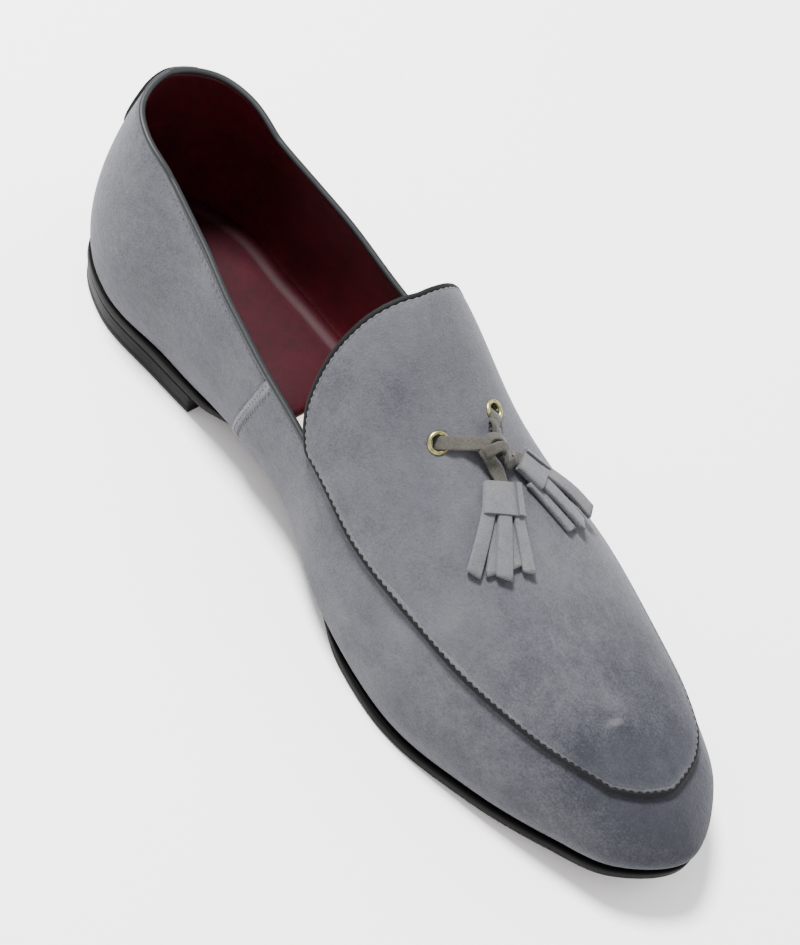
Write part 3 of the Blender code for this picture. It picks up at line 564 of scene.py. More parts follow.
def plank(stations, layers, end=LENGTH):
    """Solid that follows the sole's outline; its rings are crossways.

    Each layer is an inset and a height, numbers or functions of x, from the middle of the
    underside round the edge to the middle of the top.
    """
    curves = []
    for inset, height in layers:
        halves = [outline(side, inset) for side in (MEDIAL, LATERAL)]
        curves.append((halves, height))
    count = len(layers)

    def place(along, around):
        at = (1 - np.cos(math.pi * along)) / 2 if end >= LENGTH else 1 - np.cos(RIDGE * along)
        index = np.rint(around * 2 * count).astype(int) % (2 * count)
        out = np.zeros((len(along), 3))
        for i in range(2 * count):
            layer = i if i < count else 2 * count - 1 - i
            halves, height = curves[layer]
            half = halves[0] if i < count else halves[1]
            chosen = index == i
            start = half[0][0]
            stop = half[-1][0] if end >= LENGTH else end
            x = start + (stop - start) * at[chosen]
            y = np.interp(x, half[:, 0], half[:, 1])
            out[chosen] = np.stack([x, y, height(x)], 1)
        return out

    shape = share_grid(stations, 2 * count, place)
    close_up(shape)
    return shape


# Finishes

def colour(text):
    """Linear colour from an sRGB hex value."""
    parts = [int(text[i:i + 2], 16) / 255 for i in (1, 3, 5)]
    linear = [p / 12.92 if p <= 0.04045 else ((p + 0.055) / 1.055) ** 2.4 for p in parts]
    return (*linear, 1.0)


def add_node(tree, kind, inputs, output=0, **settings):
    """Output of a new node; each of its inputs is a value or another node's output."""
    node = tree.nodes.new("ShaderNode" + kind)
    for name, value in settings.items():
        setattr(node, name, value)
    for name, value in inputs.items():
        if isinstance(value, bpy.types.NodeSocket):
            tree.links.new(value, node.inputs[name])
        else:
            node.inputs[name].default_value = value
    return node.outputs[output]


def blend(tree, share, low, high, way="MIX"):
    """Colour between two others, by a share."""
    return add_node(tree, "Mix", {0: share, 6: low, 7: high}, 2, data_type="RGBA", blend_type=way)


def remap(tree, value, low, high, to_low=0.0, to_high=1.0):
    """A value's range stretched to another range, and held at its ends."""
    return add_node(tree, "MapRange", {
        "Value": value, "From Min": low, "From Max": high, "To Min": to_low, "To Max": to_high})


def new_finish(name, values):
    """Material with its shader's own values; also its tree, its shader and places in mm."""
    made = bpy.data.materials.new(name)
    made.use_nodes = True
    tree = made.node_tree
    shader = tree.nodes["Principled BSDF"]
    for socket, value in values.items():
        shader.inputs[socket].default_value = value
    place = add_node(tree, "TexCoord", {}, "Object")
    place = add_node(tree, "Mapping", {"Vector": place, "Scale": (1000, 1000, 1000)})
    return made, tree, shader, place


def patches(tree, place, layers):
    """Sum of soft patches; a layer is a size in mm, a squeeze along x, y and z, and a weight."""
    total = 0.0
    for size, squeeze, weight in layers:
        scaled = add_node(tree, "Mapping", {"Vector": place, "Scale": squeeze})
        soft = add_node(tree, "TexNoise", {
            "Vector": scaled, "Scale": 1 / size, "Detail": 3.0, "Roughness": 0.6})
        total = add_node(tree, "Math", {0: soft, 1: weight, 2: total}, operation="MULTIPLY_ADD")
    return total


EVEN = (1.0, 1.0, 1.0)


def brushed_suede(name, light, dark, wax_and_shade, rubbed):
    """Calf suede, split and brushed by hand: a matt, cloudy nap that turns light and dark where
    it lies in different directions, short fibres, and wax rubbed into the toe. The wax's dark
    colour is also painted shade down the lateral side and past the lateral tassel, and a
    painted highlight on the toe's ridge takes the wax out.

    The clouds are 34 and 10 mm across, the brush marks 3 mm and the fibre tufts 0.7 mm. Single
    fibres are finer than the picture can show, so the tufts stand for them.
    """
    made, tree, shader, place = new_finish(name, {
        "Roughness": 0.96, "Specular IOR Level": 0.12, "Sheen Weight": 0.16,
        "Sheen Roughness": 0.5, "Sheen Tint": colour("#d3d3da")})
    tone = patches(tree, place, (
        (34.0, EVEN, 0.28), (10.0, (0.6, 1.1, 1.0), 0.18), (3.0, EVEN, 0.18), (0.7, EVEN, 0.36)))
    share = remap(tree, tone, 0.38, 0.64)
    base = blend(tree, share, colour(dark), colour(light))
    cool = remap(tree, patches(tree, place, ((18.0, EVEN, 1.0),)), 0.42, 0.62, 0.0, 0.22)
    base = blend(tree, cool, base, colour("#c3c7d6"), "MULTIPLY")
    # wax at the toe, painted shade on the lateral side and a painted highlight on the toe's ridge
    wax_and_painted_light = add_node(tree, "Attribute", {}, "Fac", attribute_name="wax_and_painted_light")
    wax_and_painted_light = add_node(tree, "Math", {0: share, 1: -0.40, 2: wax_and_painted_light}, operation="MULTIPLY_ADD")
    wax_and_painted_light = remap(tree, wax_and_painted_light, -0.12, 0.68, 0.0, 0.92)
    # the dark end is the wax colour, which also stands for the painted shade
    lit = blend(tree, 0.3, colour(wax_and_shade), base)
    wax_and_shade_mix = blend(tree, share, colour(wax_and_shade), lit)
    base = blend(tree, wax_and_painted_light, base, wax_and_shade_mix)
    worn = add_node(tree, "Attribute", {}, "Fac", attribute_name="wear")
    patchy = remap(tree, share, 0.0, 0.7, 0.5)
    worn = add_node(tree, "Math", {0: worn, 1: patchy}, operation="MULTIPLY")
    base = blend(tree, worn, base, colour(rubbed))
    tree.links.new(base, shader.inputs["Base Color"])
    nap = patches(tree, place, ((0.6, EVEN, 1.0), (2.4, (0.6, 1.0, 1.0), 1.0)))
    relief = add_node(tree, "Bump", {"Height": nap, "Distance": 0.3 * MM, "Strength": 0.8})
    tree.links.new(relief, shader.inputs["Normal"])
    return made


def smooth_leather(name, light, dark, roughness, gloss, relief):
    """Finished calf, dyed and glazed: even colour with faint clouds, over a fine closed grain.

    The cells of the grain are 0.7 mm across, and the relief is their depth in millimetres. With
    other values it also gives waxed thread and moulded rubber, which are as even.
    """
    made, tree, shader, place = new_finish(name, {
        "Roughness": roughness, "Specular IOR Level": gloss})
    tone = patches(tree, place, ((14.0, EVEN, 0.6), (3.0, EVEN, 0.4)))
    share = remap(tree, tone, 0.38, 0.62)
    base = blend(tree, share, colour(dark), colour(light))
    tree.links.new(base, shader.inputs["Base Color"])
    cells = add_node(tree, "TexVoronoi", {"Vector": place, "Scale": 1 / 0.7}, "Distance",
                     feature="DISTANCE_TO_EDGE")
    grain = remap(tree, cells, 0.0, 0.2)
    grain = add_node(tree, "Math", {0: tone, 1: 3.0, 2: grain}, operation="MULTIPLY_ADD")
    pressed = add_node(tree, "Bump", {"Height": grain, "Distance": relief * MM, "Strength": 0.8})
    tree.links.new(pressed, shader.inputs["Normal"])
    return made


def inked_leather(name, base, line):
    """Cut edge of sole leather, inked black and ironed with wax: satin, with faint level lines.

    The lines lie as far apart as the layers of leather, a number of millimetres.
    """
    made, tree, shader, place = new_finish(name, {
        "Base Color": colour(base), "Specular IOR Level": 0.05})
    streaks = patches(tree, place, ((3.0, (0.12, 0.12, 1.6), 1.0), (0.5, EVEN, 0.3)))
    rough = remap(tree, streaks, 0.45, 0.85, 0.42, 0.58)
    tree.links.new(rough, shader.inputs["Roughness"])
    level = add_node(tree, "SeparateXYZ", {"Vector": place}, "Z")
    level = add_node(tree, "Math", {0: level, 1: line / 2}, operation="PINGPONG")
    groove = remap(tree, level, 0.0, 0.2)
    groove = add_node(tree, "Math", {0: streaks, 1: 0.5, 2: groove}, operation="MULTIPLY_ADD")
    relief = add_node(tree, "Bump", {"Height": groove, "Distance": 0.08 * MM, "Strength": 0.8})
    tree.links.new(relief, shader.inputs["Normal"])
    return made


def aged_brass():
    """Stamped brass, aged and lacquered: olive gold with darker clouds, satin."""
    made, tree, shader, place = new_finish("aged_brass", {"Metallic": 1.0})
    tarnish = patches(tree, place, ((1.4, EVEN, 1.0),))
    share = remap(tree, tarnish, 0.4, 0.62)
    base = blend(tree, share, colour("#77734a"), colour("#a19c6c"))
    tree.links.new(base, shader.inputs["Base Color"])
    rough = remap(tree, tarnish, 0.4, 0.62, 0.42, 0.28)
    tree.links.new(rough, shader.inputs["Roughness"])
    pits = patches(tree, place, ((0.35, EVEN, 1.0),))
    relief = add_node(tree, "Bump", {"Height": pits, "Distance": 0.02 * MM, "Strength": 0.8})
    tree.links.new(relief, shader.inputs["Normal"])
    return made


def painted_floor():
    """Matt white paint, which gives the soft pale ground of the photograph."""
    made, tree, shader, place = new_finish("matt_white_floor", {
        "Roughness": 0.9, "Specular IOR Level": 0.1})
    share = patches(tree, place, ((220.0, EVEN, 1.0),))
    base = blend(tree, share, colour("#fbfbfa"), colour("#fdfdfc"))
    tree.links.new(base, shader.inputs["Base Color"])
    return made


def build_finishes():
    """Every finish of the shoe. The light and the dark colour are the ends of its own clouds."""
    return {
        # the upper: blue-grey nap, waxed nearly black at the toe, with the same dark as painted shade
        # down the lateral side and a painted highlight on the toe's ridge, rubbed pale at the sole
        "suede": brushed_suede("brushed_suede", "#515155", "#404045", "#1f2127", "#69696d"),
        # the same suede, made paler as painted light on the tassels' lit tops
        "tassel": brushed_suede("tassel_suede_painted_light", "#5f5f61", "#4e4e52", "#242529", "#666669"),
        # a browner strip, dark with handling
        "thong": brushed_suede("thong_suede", "#484640", "#35332f", "#242529", "#6b6861"),
        # fresh cut edges, a little lighter than the face
        "cut": brushed_suede("pinked_suede", "#555558", "#434347", "#26272b", "#69696c"),
        # dull charcoal line in the apron's seam
        "cord": smooth_leather("charcoal_cord", "#0c0d0f", "#08090a", 0.7, 0.15, 0.03),
        # charcoal roll with a soft light along its top
        "binding": smooth_leather("charcoal_binding", "#15171a", "#101214", 0.5, 0.3, 0.02),
        # glazed wine-red calf, nearly black in the shade
        "lining": smooth_leather("oxblood_lining", "#470b15", "#35080f", 0.42, 0.42, 0.02),
        # the same red, but softer, and darkened as painted shade for the floor deep in the shoe, with a
        # broad dim light on its raised edge
        "sock": smooth_leather("oxblood_sock", "#2c030c", "#220209", 0.56, 0.12, 0.02),
        # undyed lining, warm and dull
        "cream": smooth_leather("cream_lining", "#c3b9af", "#b3a79c", 0.6, 0.4, 0.04),
        # one thick layer, so hardly a line in the black
        "edge": inked_leather("inked_sole_edge", "#060606", 9.0),
        # a line between each two lifts of 2.4 mm
        "stack": inked_leather("inked_heel_stack", "#060606", 2.4),
        # sole leather stained red, and polished
        "underside": smooth_leather("oxblood_underside", "#4a1518", "#3d1114", 0.40, 0.45, 0.04),
        # dull black rubber
        "rubber": smooth_leather("moulded_top_piece", "#090909", "#070707", 0.7, 0.2, 0.05),
        # olive gold, the one metal
        "brass": aged_brass(),
        # the pale lining, seen down the eyelet
        "well": smooth_leather("eyelet_well", "#d9d2c6", "#c9c1b4", 0.5, 0.3, 0.02),
        # waxed thread, a shade off the suede
        "thread": smooth_leather("grey_thread", "#4c4c51", "#434348", 0.8, 0.2, 0.02),
        # a plain ground that keeps the soft shadow
        "floor": painted_floor(),
    }


# Camera, floor and light

def set_camera():
    """Camera with the photograph's framing, whose height is the whole sensor's."""
    data = bpy.data.cameras.new("camera")
    data.sensor_fit = "VERTICAL"
    data.sensor_height = 36.0
    data.lens = CAMERA_LENS
    data.clip_start, data.clip_end = 0.01, 20.0
    camera = bpy.data.objects.new("camera", data)
    right, up = Vector(CAMERA_RIGHT), Vector(CAMERA_UP)
    turn = Matrix((right, up, right.cross(up))).transposed()
    camera.matrix_world = Matrix.Translation(Vector(CAMERA_AT) * MM) @ turn.to_4x4()
    bpy.context.scene.collection.objects.link(camera)
    bpy.context.scene.camera = camera


def add_light(name, place, size, power):
    """White round soft box, in metres and watts, turned to the shoe."""
    data = bpy.data.lights.new(name, "AREA")
    data.shape = "DISK"
    data.size = size
    data.energy = power
    light = bpy.data.objects.new(name, data)
    light.location = place
    way = Vector(LIGHT_AIM) - Vector(place)
    light.rotation_euler = way.to_track_quat("-Z", "Y").to_euler()
    bpy.context.scene.collection.objects.link(light)


def set_stage(finish):
    """Pale floor, an even white room and the lights."""
    shape = bmesh.new()
    bmesh.ops.create_grid(shape, x_segments=1, y_segments=1, size=3.0)
    mesh = bpy.data.meshes.new("studio_floor")
    shape.to_mesh(mesh)
    shape.free()
    mesh.materials.append(finish)
    floor = bpy.data.objects.new("studio_floor", mesh)
    bpy.context.scene.collection.objects.link(floor)
    world = bpy.data.worlds.new("studio")
    bpy.context.scene.world = world
    world.use_nodes = True
    background = world.node_tree.nodes["Background"]
    background.inputs["Color"].default_value = colour("#f5f5f6")
    background.inputs["Strength"].default_value = 1.42
    for light in LIGHTS:
        add_light(*light)


# Thong, knot and tassels

THONG_WIDTH = 4.4
THONG_THICKNESS = 1.3

# The bar from the eyelet's hole to the knot. Each row is the distance along it, the height
# above the apron, and how far the strip still stands on its end.
BAR_WAY = (
    (-0.6, -2.2, 1.6),
    (0.2, -0.6, 1.2),
    (1.6, 1.1, 0.4),
    (3.9, 1.75, 0.0),
    (6.2, 1.5, 0.0),
)

# The thong's way through the knot, from the bar to the tassel. Each row is how far ahead,
# across and up it is in the knot's own directions.
KNOT_WAY = {
    MEDIAL: (
        (-3.4, -5.6, 0.1),
        (-2.0, -3.3, 0.9),
        (-0.4, -1.0, -0.3),
        (2.5, 0.8, -1.0),
        (1.8, 2.9, 0.7),
        (-1.2, 2.0, 2.0),
        (-2.7, -1.0, 1.9),
        (-1.0, -4.4, 1.3),
        (2.3, -4.0, 1.0),
        (5.4, -2.9, -0.2),
    ),
    LATERAL: (
        (-6.3, 4.9, 0.0),
        (-3.1, 3.4, 0.2),
        (-0.3, 1.8, 0.1),
        (1.0, -1.7, 0.0),
        (0.3, -4.7, 1.2),
        (0.5, -2.7, 2.9),
        (1.0, 0.8, 2.9),
        (2.9, 2.4, 1.7),
        (6.3, 2.4, 0.4),
    ),
}

# Where each tassel's head starts, and the way it points
TASSEL_HEADS = {MEDIAL: ((173.6, 2.4), (0.85, -0.53)), LATERAL: ((170.4, 12.5), (0.89, 0.46))}
HEAD_WIDTHS = {MEDIAL: (13.4, 15.0), LATERAL: (9.2, 11.0)}
HEAD_LENGTHS = {MEDIAL: 9.8, LATERAL: 9.0}
HEAD_HEIGHT = 4.6
HEAD_TURNS = 2.25
HEAD_LEATHER = 0.95

# The strips of the fringe. Each row is where the root and the tip lie across the tassel, the
# length, how high the root, the middle and the tip lie, the width, and the lean to one side.
STRIPS = {
    MEDIAL: (
        (-3.9, -8.2, 25.6, 3.0, 2.6, 1.6, 4.1, 0.20),
        (-1.4, -2.6, 26.2, 1.6, 1.1, 0.9, 3.8, 0.05),
        (0.2, 0.4, 27.4, 3.4, 3.1, 2.1, 4.5, 0.0),
        (2.9, 4.2, 24.4, 1.5, 1.1, 0.9, 3.4, -0.10),
        (4.6, 7.9, 25.8, 3.1, 2.6, 1.8, 3.4, -0.30),
    ),
    LATERAL: (
        (-2.9, -6.2, 24.8, 2.0, 1.3, 1.0, 4.4, 0.2),
        (-0.9, -2.6, 26.6, 3.2, 3.2, 2.5, 4.4, 0.1),
        (0.8, 0.4, 22.6, 1.8, 1.4, 1.1, 3.8, 0.0),
        (2.4, 2.6, 26.2, 3.6, 5.2, 4.4, 4.0, -0.5),
        (3.4, 4.6, 23.0, 2.2, 2.8, 3.4, 3.8, -0.3),
    ),
}


def knot_frame():
    """Centre of the knot and its directions: ahead, across and up."""
    centre, up = over_apron(*KNOT_AT, KNOT_LIFT)
    up = Vector(up)
    across = up.cross(Vector((1, 0, 0))).normalized()
    return np.array(centre), np.array([across.cross(up), across, up])


def thong_way(side):
    """Points and facings of one half of the thong, from its eyelet to inside its tassel."""
    centre, axes = knot_frame()
    rows = []
    start = np.array(EYELET_AT[side])
    to_knot = np.array(KNOT_AT) - start
    ahead = to_knot / np.linalg.norm(to_knot)
    for distance, height, tilt in BAR_WAY:
        point, normal = over_apron(*(start + ahead * distance), height)
        facing = normal - tilt * np.array([*ahead, 0.0])
        rows.append([*point, *unit(facing) * 2])
    for row in KNOT_WAY[side]:
        facing = np.array(row) * (0.3, 0.3, 0.0) + (0.0, 0.0, 1.0)
        rows.append([*(centre + np.array(row) @ axes), *unit(facing @ axes) * 2])
    head, way = (np.array(value) for value in TASSEL_HEADS[side])
    for distance, height in ((-1.0, 2.4), (1.5, 2.9), (5.0, 2.9)):
        point, normal = over_apron(*(head + way * distance), height)
        rows.append([*point, *normal * 2])
    rows = [2 * np.array(rows[0]) - rows[1]] + rows + [2 * np.array(rows[-1]) - rows[-2]]
    return resample(curve_through(rows, 10), 110)


def build_thong(side, finishes):
    """Flat thong through its eyelet, over the apron, round the knot and into its tassel."""
    way = thong_way(side)
    centre, _ = knot_frame()
    gathered = np.exp(-(np.linalg.norm(way[:, :3] - centre, axis=1) / 5.0) ** 4)
    scale = np.stack([1 - 0.36 * gathered, 1 + 0.55 * gathered], 1)
    shape = sweep(way[:, :3], way[:, 3:], oval(THONG_WIDTH, THONG_THICKNESS, 5.0, 16), scale=scale)
    mark_nap(shape)
    name = SIDE_NAMES[side]
    nodes = ["lace_bar_" + name, "lace_end_" + name] + (["lace_knot"] if side == MEDIAL else [])
    piece = add_piece("thong_" + name, shape, [finishes["thong"]], nodes)


def head_way(side, distance, height):
    """Point and facing at a distance along a tassel's head."""
    start, way = (np.array(value) for value in TASSEL_HEADS[side])
    return over_apron(*(start + unit(way) * distance), height)


def build_tassel_head(side, finishes):
    """Band of suede rolled up flat, wider at its foot, with its end lying on top."""
    stations = 14
    middle = 0.7 + HEAD_HEIGHT / 2
    spots = [head_way(side, HEAD_LENGTHS[side] * i / stations, middle) for i in range(stations + 1)]
    path = np.array([spot[0] for spot in spots])
    normals = np.array([spot[1] for spot in spots])
    across = unit(np.cross(unit(np.gradient(path, axis=0)), normals))

    def place(along, around):
        at = along * stations
        low = np.clip(at.astype(int), 0, stations - 1)
        part = (at - low)[:, None]
        centre = path[low] * (1 - part) + path[low + 1] * part
        side_way = across[low] * (1 - part) + across[low + 1] * part
        up = normals[low] * (1 - part) + normals[low + 1] * part
        turn = 2 * math.pi * (HEAD_TURNS * (1 - around) + 0.32)
        inset = HEAD_LEATHER * HEAD_TURNS * (1 - around)
        width = np.interp(along ** 1.3, (0, 1), HEAD_WIDTHS[side])
        half, rise = width / 2 - inset, HEAD_HEIGHT / 2 + 0.35 * along - inset
        power = 2 / 3.2
        flat = np.sign(np.cos(turn)) * np.abs(np.cos(turn)) ** power * half
        high = np.sign(np.sin(turn)) * np.abs(np.sin(turn)) ** power * np.maximum(rise, 0.15)
        return centre + side_way * flat[:, None] + up * high[:, None]

    shape = share_grid(stations, 150, place)
    bmesh.ops.recalc_face_normals(shape, faces=shape.faces)
    centre = Vector(path.mean(0))
    outwards = 0.0
    for face in shape.faces:
        outwards += face.normal.dot(face.calc_center_median() - centre) * face.calc_area()
    if outwards < 0:
        bmesh.ops.reverse_faces(shape, faces=shape.faces)
    mark_nap(shape)
    name = SIDE_NAMES[side]
    piece = add_piece("tassel_head_" + name, shape, [finishes["tassel"], finishes["cut"]],
                      ["tassel_" + name])
    thicken(piece, HEAD_LEATHER - 0.12, 1, 0.12)
    return piece


def build_fringe(side, finishes):
    """Loose flat strips that hang out of the band, each cut at a slant."""
    whole = bmesh.new()
    start, way = (np.array(value) for value in TASSEL_HEADS[side])
    way = unit(way)
    across = np.array((-way[1], way[0]))
    spare = bpy.data.meshes.new("spare")
    for number, (root, tip, length, low, middle, high, width, lean) in enumerate(STRIPS[side]):
        rows = []
        for share in (-0.1, 0.0, 0.3, 0.62, 1.0, 1.1):
            distance = 6.0 + (length - 6.0) * share
            offset = root + (tip - root) * max(share, 0.0) ** 1.25
            lift = np.interp(share, (0.0, 0.5, 1.0), (low, middle, high))
            point, normal = over_apron(*(start + way * distance + across * offset), lift)
            facing = normal + lean * max(share, 0.0) * np.array([*across, 0.0])
            rows.append([*point, *unit(facing) * 2])
        path = resample(curve_through(rows, 6), 16)
        scale = np.stack([1 + 0.12 * np.linspace(0, 1, len(path)), np.ones(len(path))], 1)
        shape = sweep(path[:, :3], path[:, 3:], oval(width, 1.9, 5.0, 14), scale=scale)
        slant = 0.9 * (1 if number % 2 else -1)
        tip_point, tip_way = path[-1, :3], unit(path[-1, :3] - path[-3, :3])
        sideways = unit(np.cross(tip_way, path[-1, 3:]))
        for vert in shape.verts:
            offset = np.array(vert.co) - tip_point
            if offset @ tip_way > -0.6:
                vert.co += Vector(tip_way * slant * (offset @ sideways) / width * 1.4)
        shape.to_mesh(spare)
        shape.free()
        whole.from_mesh(spare)
    bpy.data.meshes.remove(spare)
    mark_nap(whole)
    name = "tassel_fringe_" + SIDE_NAMES[side]
    return add_piece(name, whole, [finishes["tassel"]])


def build_lacing(finishes):
    """Both tassels, and the thong that ends in them."""
    for side in (MEDIAL, LATERAL):
        head = build_tassel_head(side, finishes)
        build_fringe(side, finishes)
        build_thong(side, finishes)


def build_eyelet(side, finishes):
    """Rolled brass ring, its barrel and the pale lining seen down the hole."""
    base, normal = over_apron(*EYELET_AT[side], 0.05)
    profile = np.array(((2.35, -1.6), (2.35, 0.35), (2.6, 0.72), (3.05, EYELET_HEIGHT),
                        (3.5, 0.72), (3.75, 0.3), (EYELET_RADIUS, 0.0)))
    turn = Vector(normal).to_track_quat("Z", "Y").to_matrix().to_4x4()
    seat = Matrix.Translation(Vector(base)) @ turn

    def place(around, across):
        radius, height = profile[np.rint(across * (len(profile) - 1)).astype(int)].T
        angle = 2 * math.pi * around
        return np.stack([radius * np.cos(angle), radius * np.sin(angle), height], 1)

    ring = share_grid(56, len(profile) - 1, place)
    bmesh.ops.remove_doubles(ring, verts=ring.verts, dist=0.005)
    bmesh.ops.recalc_face_normals(ring, faces=ring.faces)
    if sum(face.normal.z for face in ring.faces) < 0:
        bmesh.ops.reverse_faces(ring, faces=ring.faces)
    bmesh.ops.transform(ring, matrix=seat, verts=ring.verts)
    name = SIDE_NAMES[side]
    piece = add_piece("eyelet_ring_" + name, ring, [finishes["brass"]], ["eyelet_" + name])
    thicken(piece, 0.15)
    well = bmesh.new()
    bmesh.ops.create_circle(well, cap_ends=True, segments=32, radius=3.0,
                            matrix=seat @ Matrix.Translation((0, 0, -1.9)))
    well_piece = add_piece("eyelet_well_" + name, well, [finishes["well"]])
    thicken(well_piece, 0.3)


# Upper

def tongue_edge(side):
    """Keys and angles of the apron's edge, from the toe to the middle of the tongue's end."""
    keys = np.linspace(LAST_KEY, CORNER_KEY, 400, endpoint=False)
    seam = np.stack([keys, seam_angle(np.full(len(keys), side), keys)], 1)
    scale = 40.0
    end = TONGUE_COLUMNS.index(SIDE_NAMES[side])
    corner = (CORNER_KEY, SEAM[0][end])
    before = (CORNER_KEY + 7.4, float(column(SEAM_COLUMNS, SEAM, SIDE_NAMES[side], CORNER_KEY + 7.4)))
    turn = [before, corner] + [(row[end], row[0]) for row in TONGUE] + [(TONGUE[-1][end], RIDGE + 0.2)]
    curve = curve_through([(key, angle * scale) for key, angle in turn], 24)
    rows = np.concatenate([seam, curve / [1, scale]])
    rows[-1, 1] = RIDGE
    points = last_point(side, rows[:, 0], rows[:, 1])
    return resample(np.concatenate([points, rows], 1), 500)[:, 3:]


EDGE = {side: tongue_edge(side) for side in (MEDIAL, LATERAL)}
EDGE_SHARE = np.linspace(0, 1, 500)
BOTH_EDGES = (EDGE[MEDIAL][:, 0] + EDGE[LATERAL][:, 0]) / 2
ROOT_FROM = float(EDGE_SHARE[np.argmax(BOTH_EDGES < 150.0)])


def edge_at(side, share):
    """Key and angle of the apron's edge, at a share of the way from the toe to the tongue's end."""
    return [by_side(side, lambda one: np.interp(share, EDGE_SHARE, EDGE[one][:, i])) for i in (0, 1)]


def apron_spot(along, across):
    """Side, key, angle and distance from the edge, over shares round the edge and inwards."""
    side, share = halves(along)
    edge_key, edge_angle = edge_at(side, share)
    root = np.interp(share, EDGE_SHARE, BOTH_EDGES)
    start = np.interp(ROOT_FROM, EDGE_SHARE, BOTH_EDGES)
    back = np.clip((share - ROOT_FROM) / (1 - ROOT_FROM), 0, 1)
    root = np.where(share < ROOT_FROM, root, start + (TONGUE[-1][1] - start) * back)
    key = edge_key * (1 - across) + root * across
    angle = edge_angle * (1 - across) + RIDGE * across
    edge = by_side(side, lambda one: last_point(one, edge_key, edge_angle))
    here = by_side(side, lambda one: last_point(one, key, angle))
    return side, key, angle, np.linalg.norm(edge - here, axis=-1)


# Shallow troughs and ridges that handling leaves in the leather. Each row is x, y, turn in
# degrees, length, width and depth.
FOLDS = (
    (214, -14, 74, 22, 5.0, -0.35),
    (226, 6, 100, 20, 6.0, 0.30),
    (201, 12, 84, 18, 4.5, -0.25),
    (262, -4, 60, 9, 7.0, -0.45),
    (254, -20, 20, 14, 5.0, 0.25),
    (183, -38, 70, 10, 4.5, -0.35),
    (195, -40, 62, 11, 4.5, 0.25),
    (60, -30, 80, 22, 12.0, -0.40),
    (40, 30, 100, 20, 12.0, -0.35),
)


def with_folds(side, key, angle, lift, share=1.0):
    """Points above the last, moved by a share of the soft folds."""
    points = on_last(side, key, angle, lift)
    depth = patch_sum(points, FOLDS) * share
    return points + facing_on_last(side, key, angle) * depth[:, None]


def build_apron(finishes):
    """Apron laid over the wrap and run on as the tongue, its edge eased down to the seam."""
    def place(along, across):
        side, key, angle, far = apron_spot(along, across ** 1.5)
        far = far * (1 - across) + 20.0 * across
        edge = 0.25 * (1 - np.exp(-far / 7.0)) - 0.3 * np.exp(-far / 0.8)
        return with_folds(side, key, angle, apron_lift(key) + APRON_THICKNESS + edge)

    shape = share_grid(620, 44, place)
    face_away(shape)
    for side in (MEDIAL, LATERAL):
        hole = Vector(over_apron(*EYELET_AT[side], 0.2)[0])
        inside = [face for face in shape.faces
                  if (face.calc_center_median() - hole).length < EYELET_HOLE_RADIUS]
        bmesh.ops.delete(shape, geom=inside, context="FACES")
    edges = np.concatenate([last_point(side, *EDGE[side].T) for side in (MEDIAL, LATERAL)])[::4]

    def near_edge(places):
        out = np.zeros(len(places))
        for start in range(0, len(places), 2000):
            part = places[start:start + 2000]
            gap = np.linalg.norm(part[:, None] - edges[None], axis=2).min(1)
            out[start:start + 2000] = 0.2 * np.exp(-((gap - 1.0) / 1.2) ** 2)
        return out

    mark_nap(shape, near_edge)
    piece = add_piece("apron", shape, [finishes["suede"], finishes["cut"]], ["apron_tongue"])
    thicken(piece, 1.2, 1)


def edge_frame(around):
    """Points, normals, outward directions and keys round the apron's edge."""
    side, share = halves(around)
    key, angle = edge_at(side, share)
    points = on_last(side, key, angle, apron_lift(key))
    normals = facing_on_last(side, key, angle)
    along = np.roll(points, -1, 0) - np.roll(points, 1, 0)
    outwards = unit(np.cross(normals, along))
    if np.sum(outwards * (points - points.mean(0)), axis=1).mean() < 0:
        outwards = -outwards
    return points, normals, outwards, key


def build_piping(finishes):
    """Cord laid in the step round the apron and along the tongue's edge."""
    count = 720
    points, normals, outwards, _ = edge_frame(np.linspace(0, 1, count, endpoint=False) + 0.5 / count)
    path = points + outwards * (PIPING_RADIUS + 0.1) + normals * (PIPING_RADIUS - 0.15)
    shape = sweep(path, normals, oval(2 * PIPING_RADIUS, 2 * PIPING_RADIUS, 2.0, 12), closed=True)
    add_piece("piping", shape, [finishes["cord"]], ["apron_piping"])


def build_pinked_edge(finishes):
    """Pinked edge of the apron: small teeth that bite over the piping."""
    steps = 6
    count = TEETH * steps
    points, normals, outwards, key = edge_frame((np.arange(count) + 0.5) / count)
    wave = np.abs((np.arange(count) % steps) / steps * 2 - 1)
    reach = np.where(key < CORNER_KEY, 0.6, 1.0)

    def place(along, across):
        i = np.rint(along * count).astype(int) % count
        row = np.rint(across * 3).astype(int)
        out = np.choose(row, (-0.9, -0.4, -0.1, 0.1 + 0.72 * wave[i])) * np.where(row == 3, reach[i], 1.0)
        high = np.choose(row, (1.28, 1.42, 1.56, 1.72))
        return points[i] + outwards[i] * out[:, None] + normals[i] * high[:, None]

    shape = share_grid(count, 3, place)
    face_away(shape)
    mark_nap(shape, lambda places: np.full(len(places), 0.12))
    piece = add_piece("pinked_edge", shape, [finishes["cut"]])
    thicken(piece, 0.3)


def wall_points(side, key, angle, lift, up):
    """Points of the upper's wall: no folds at its foot, and the lowest row down on the sole."""
    points = with_folds(side, key, angle, lift, np.clip(angle / 0.2, 0, 1))
    points[:, 2] -= np.where(up < 1e-6, GAP + 0.1, 0.0)
    return points


def wrap_spot(along, up):
    """Side, key and angle over the wrap, from one side seam round the toe to the other."""
    side, back = halves(along)
    key = WRAP_EDGE_KEY + (LAST_KEY - WRAP_EDGE_KEY) * (1 - back)
    top = top_angle(side, key, ROLL)
    seam = seam_angle(side, key) + 0.03
    top = np.where(key < CORNER_KEY, top, np.minimum(top, seam))
    angle = top * up
    lean = column(WRAP_EDGE_COLUMNS, WRAP_EDGE, "key", angle) - WRAP_EDGE_KEY
    near = np.clip(1 - np.abs(key - WRAP_EDGE_KEY) / 28.0, 0, 1)
    return side, key + lean * near, angle, top


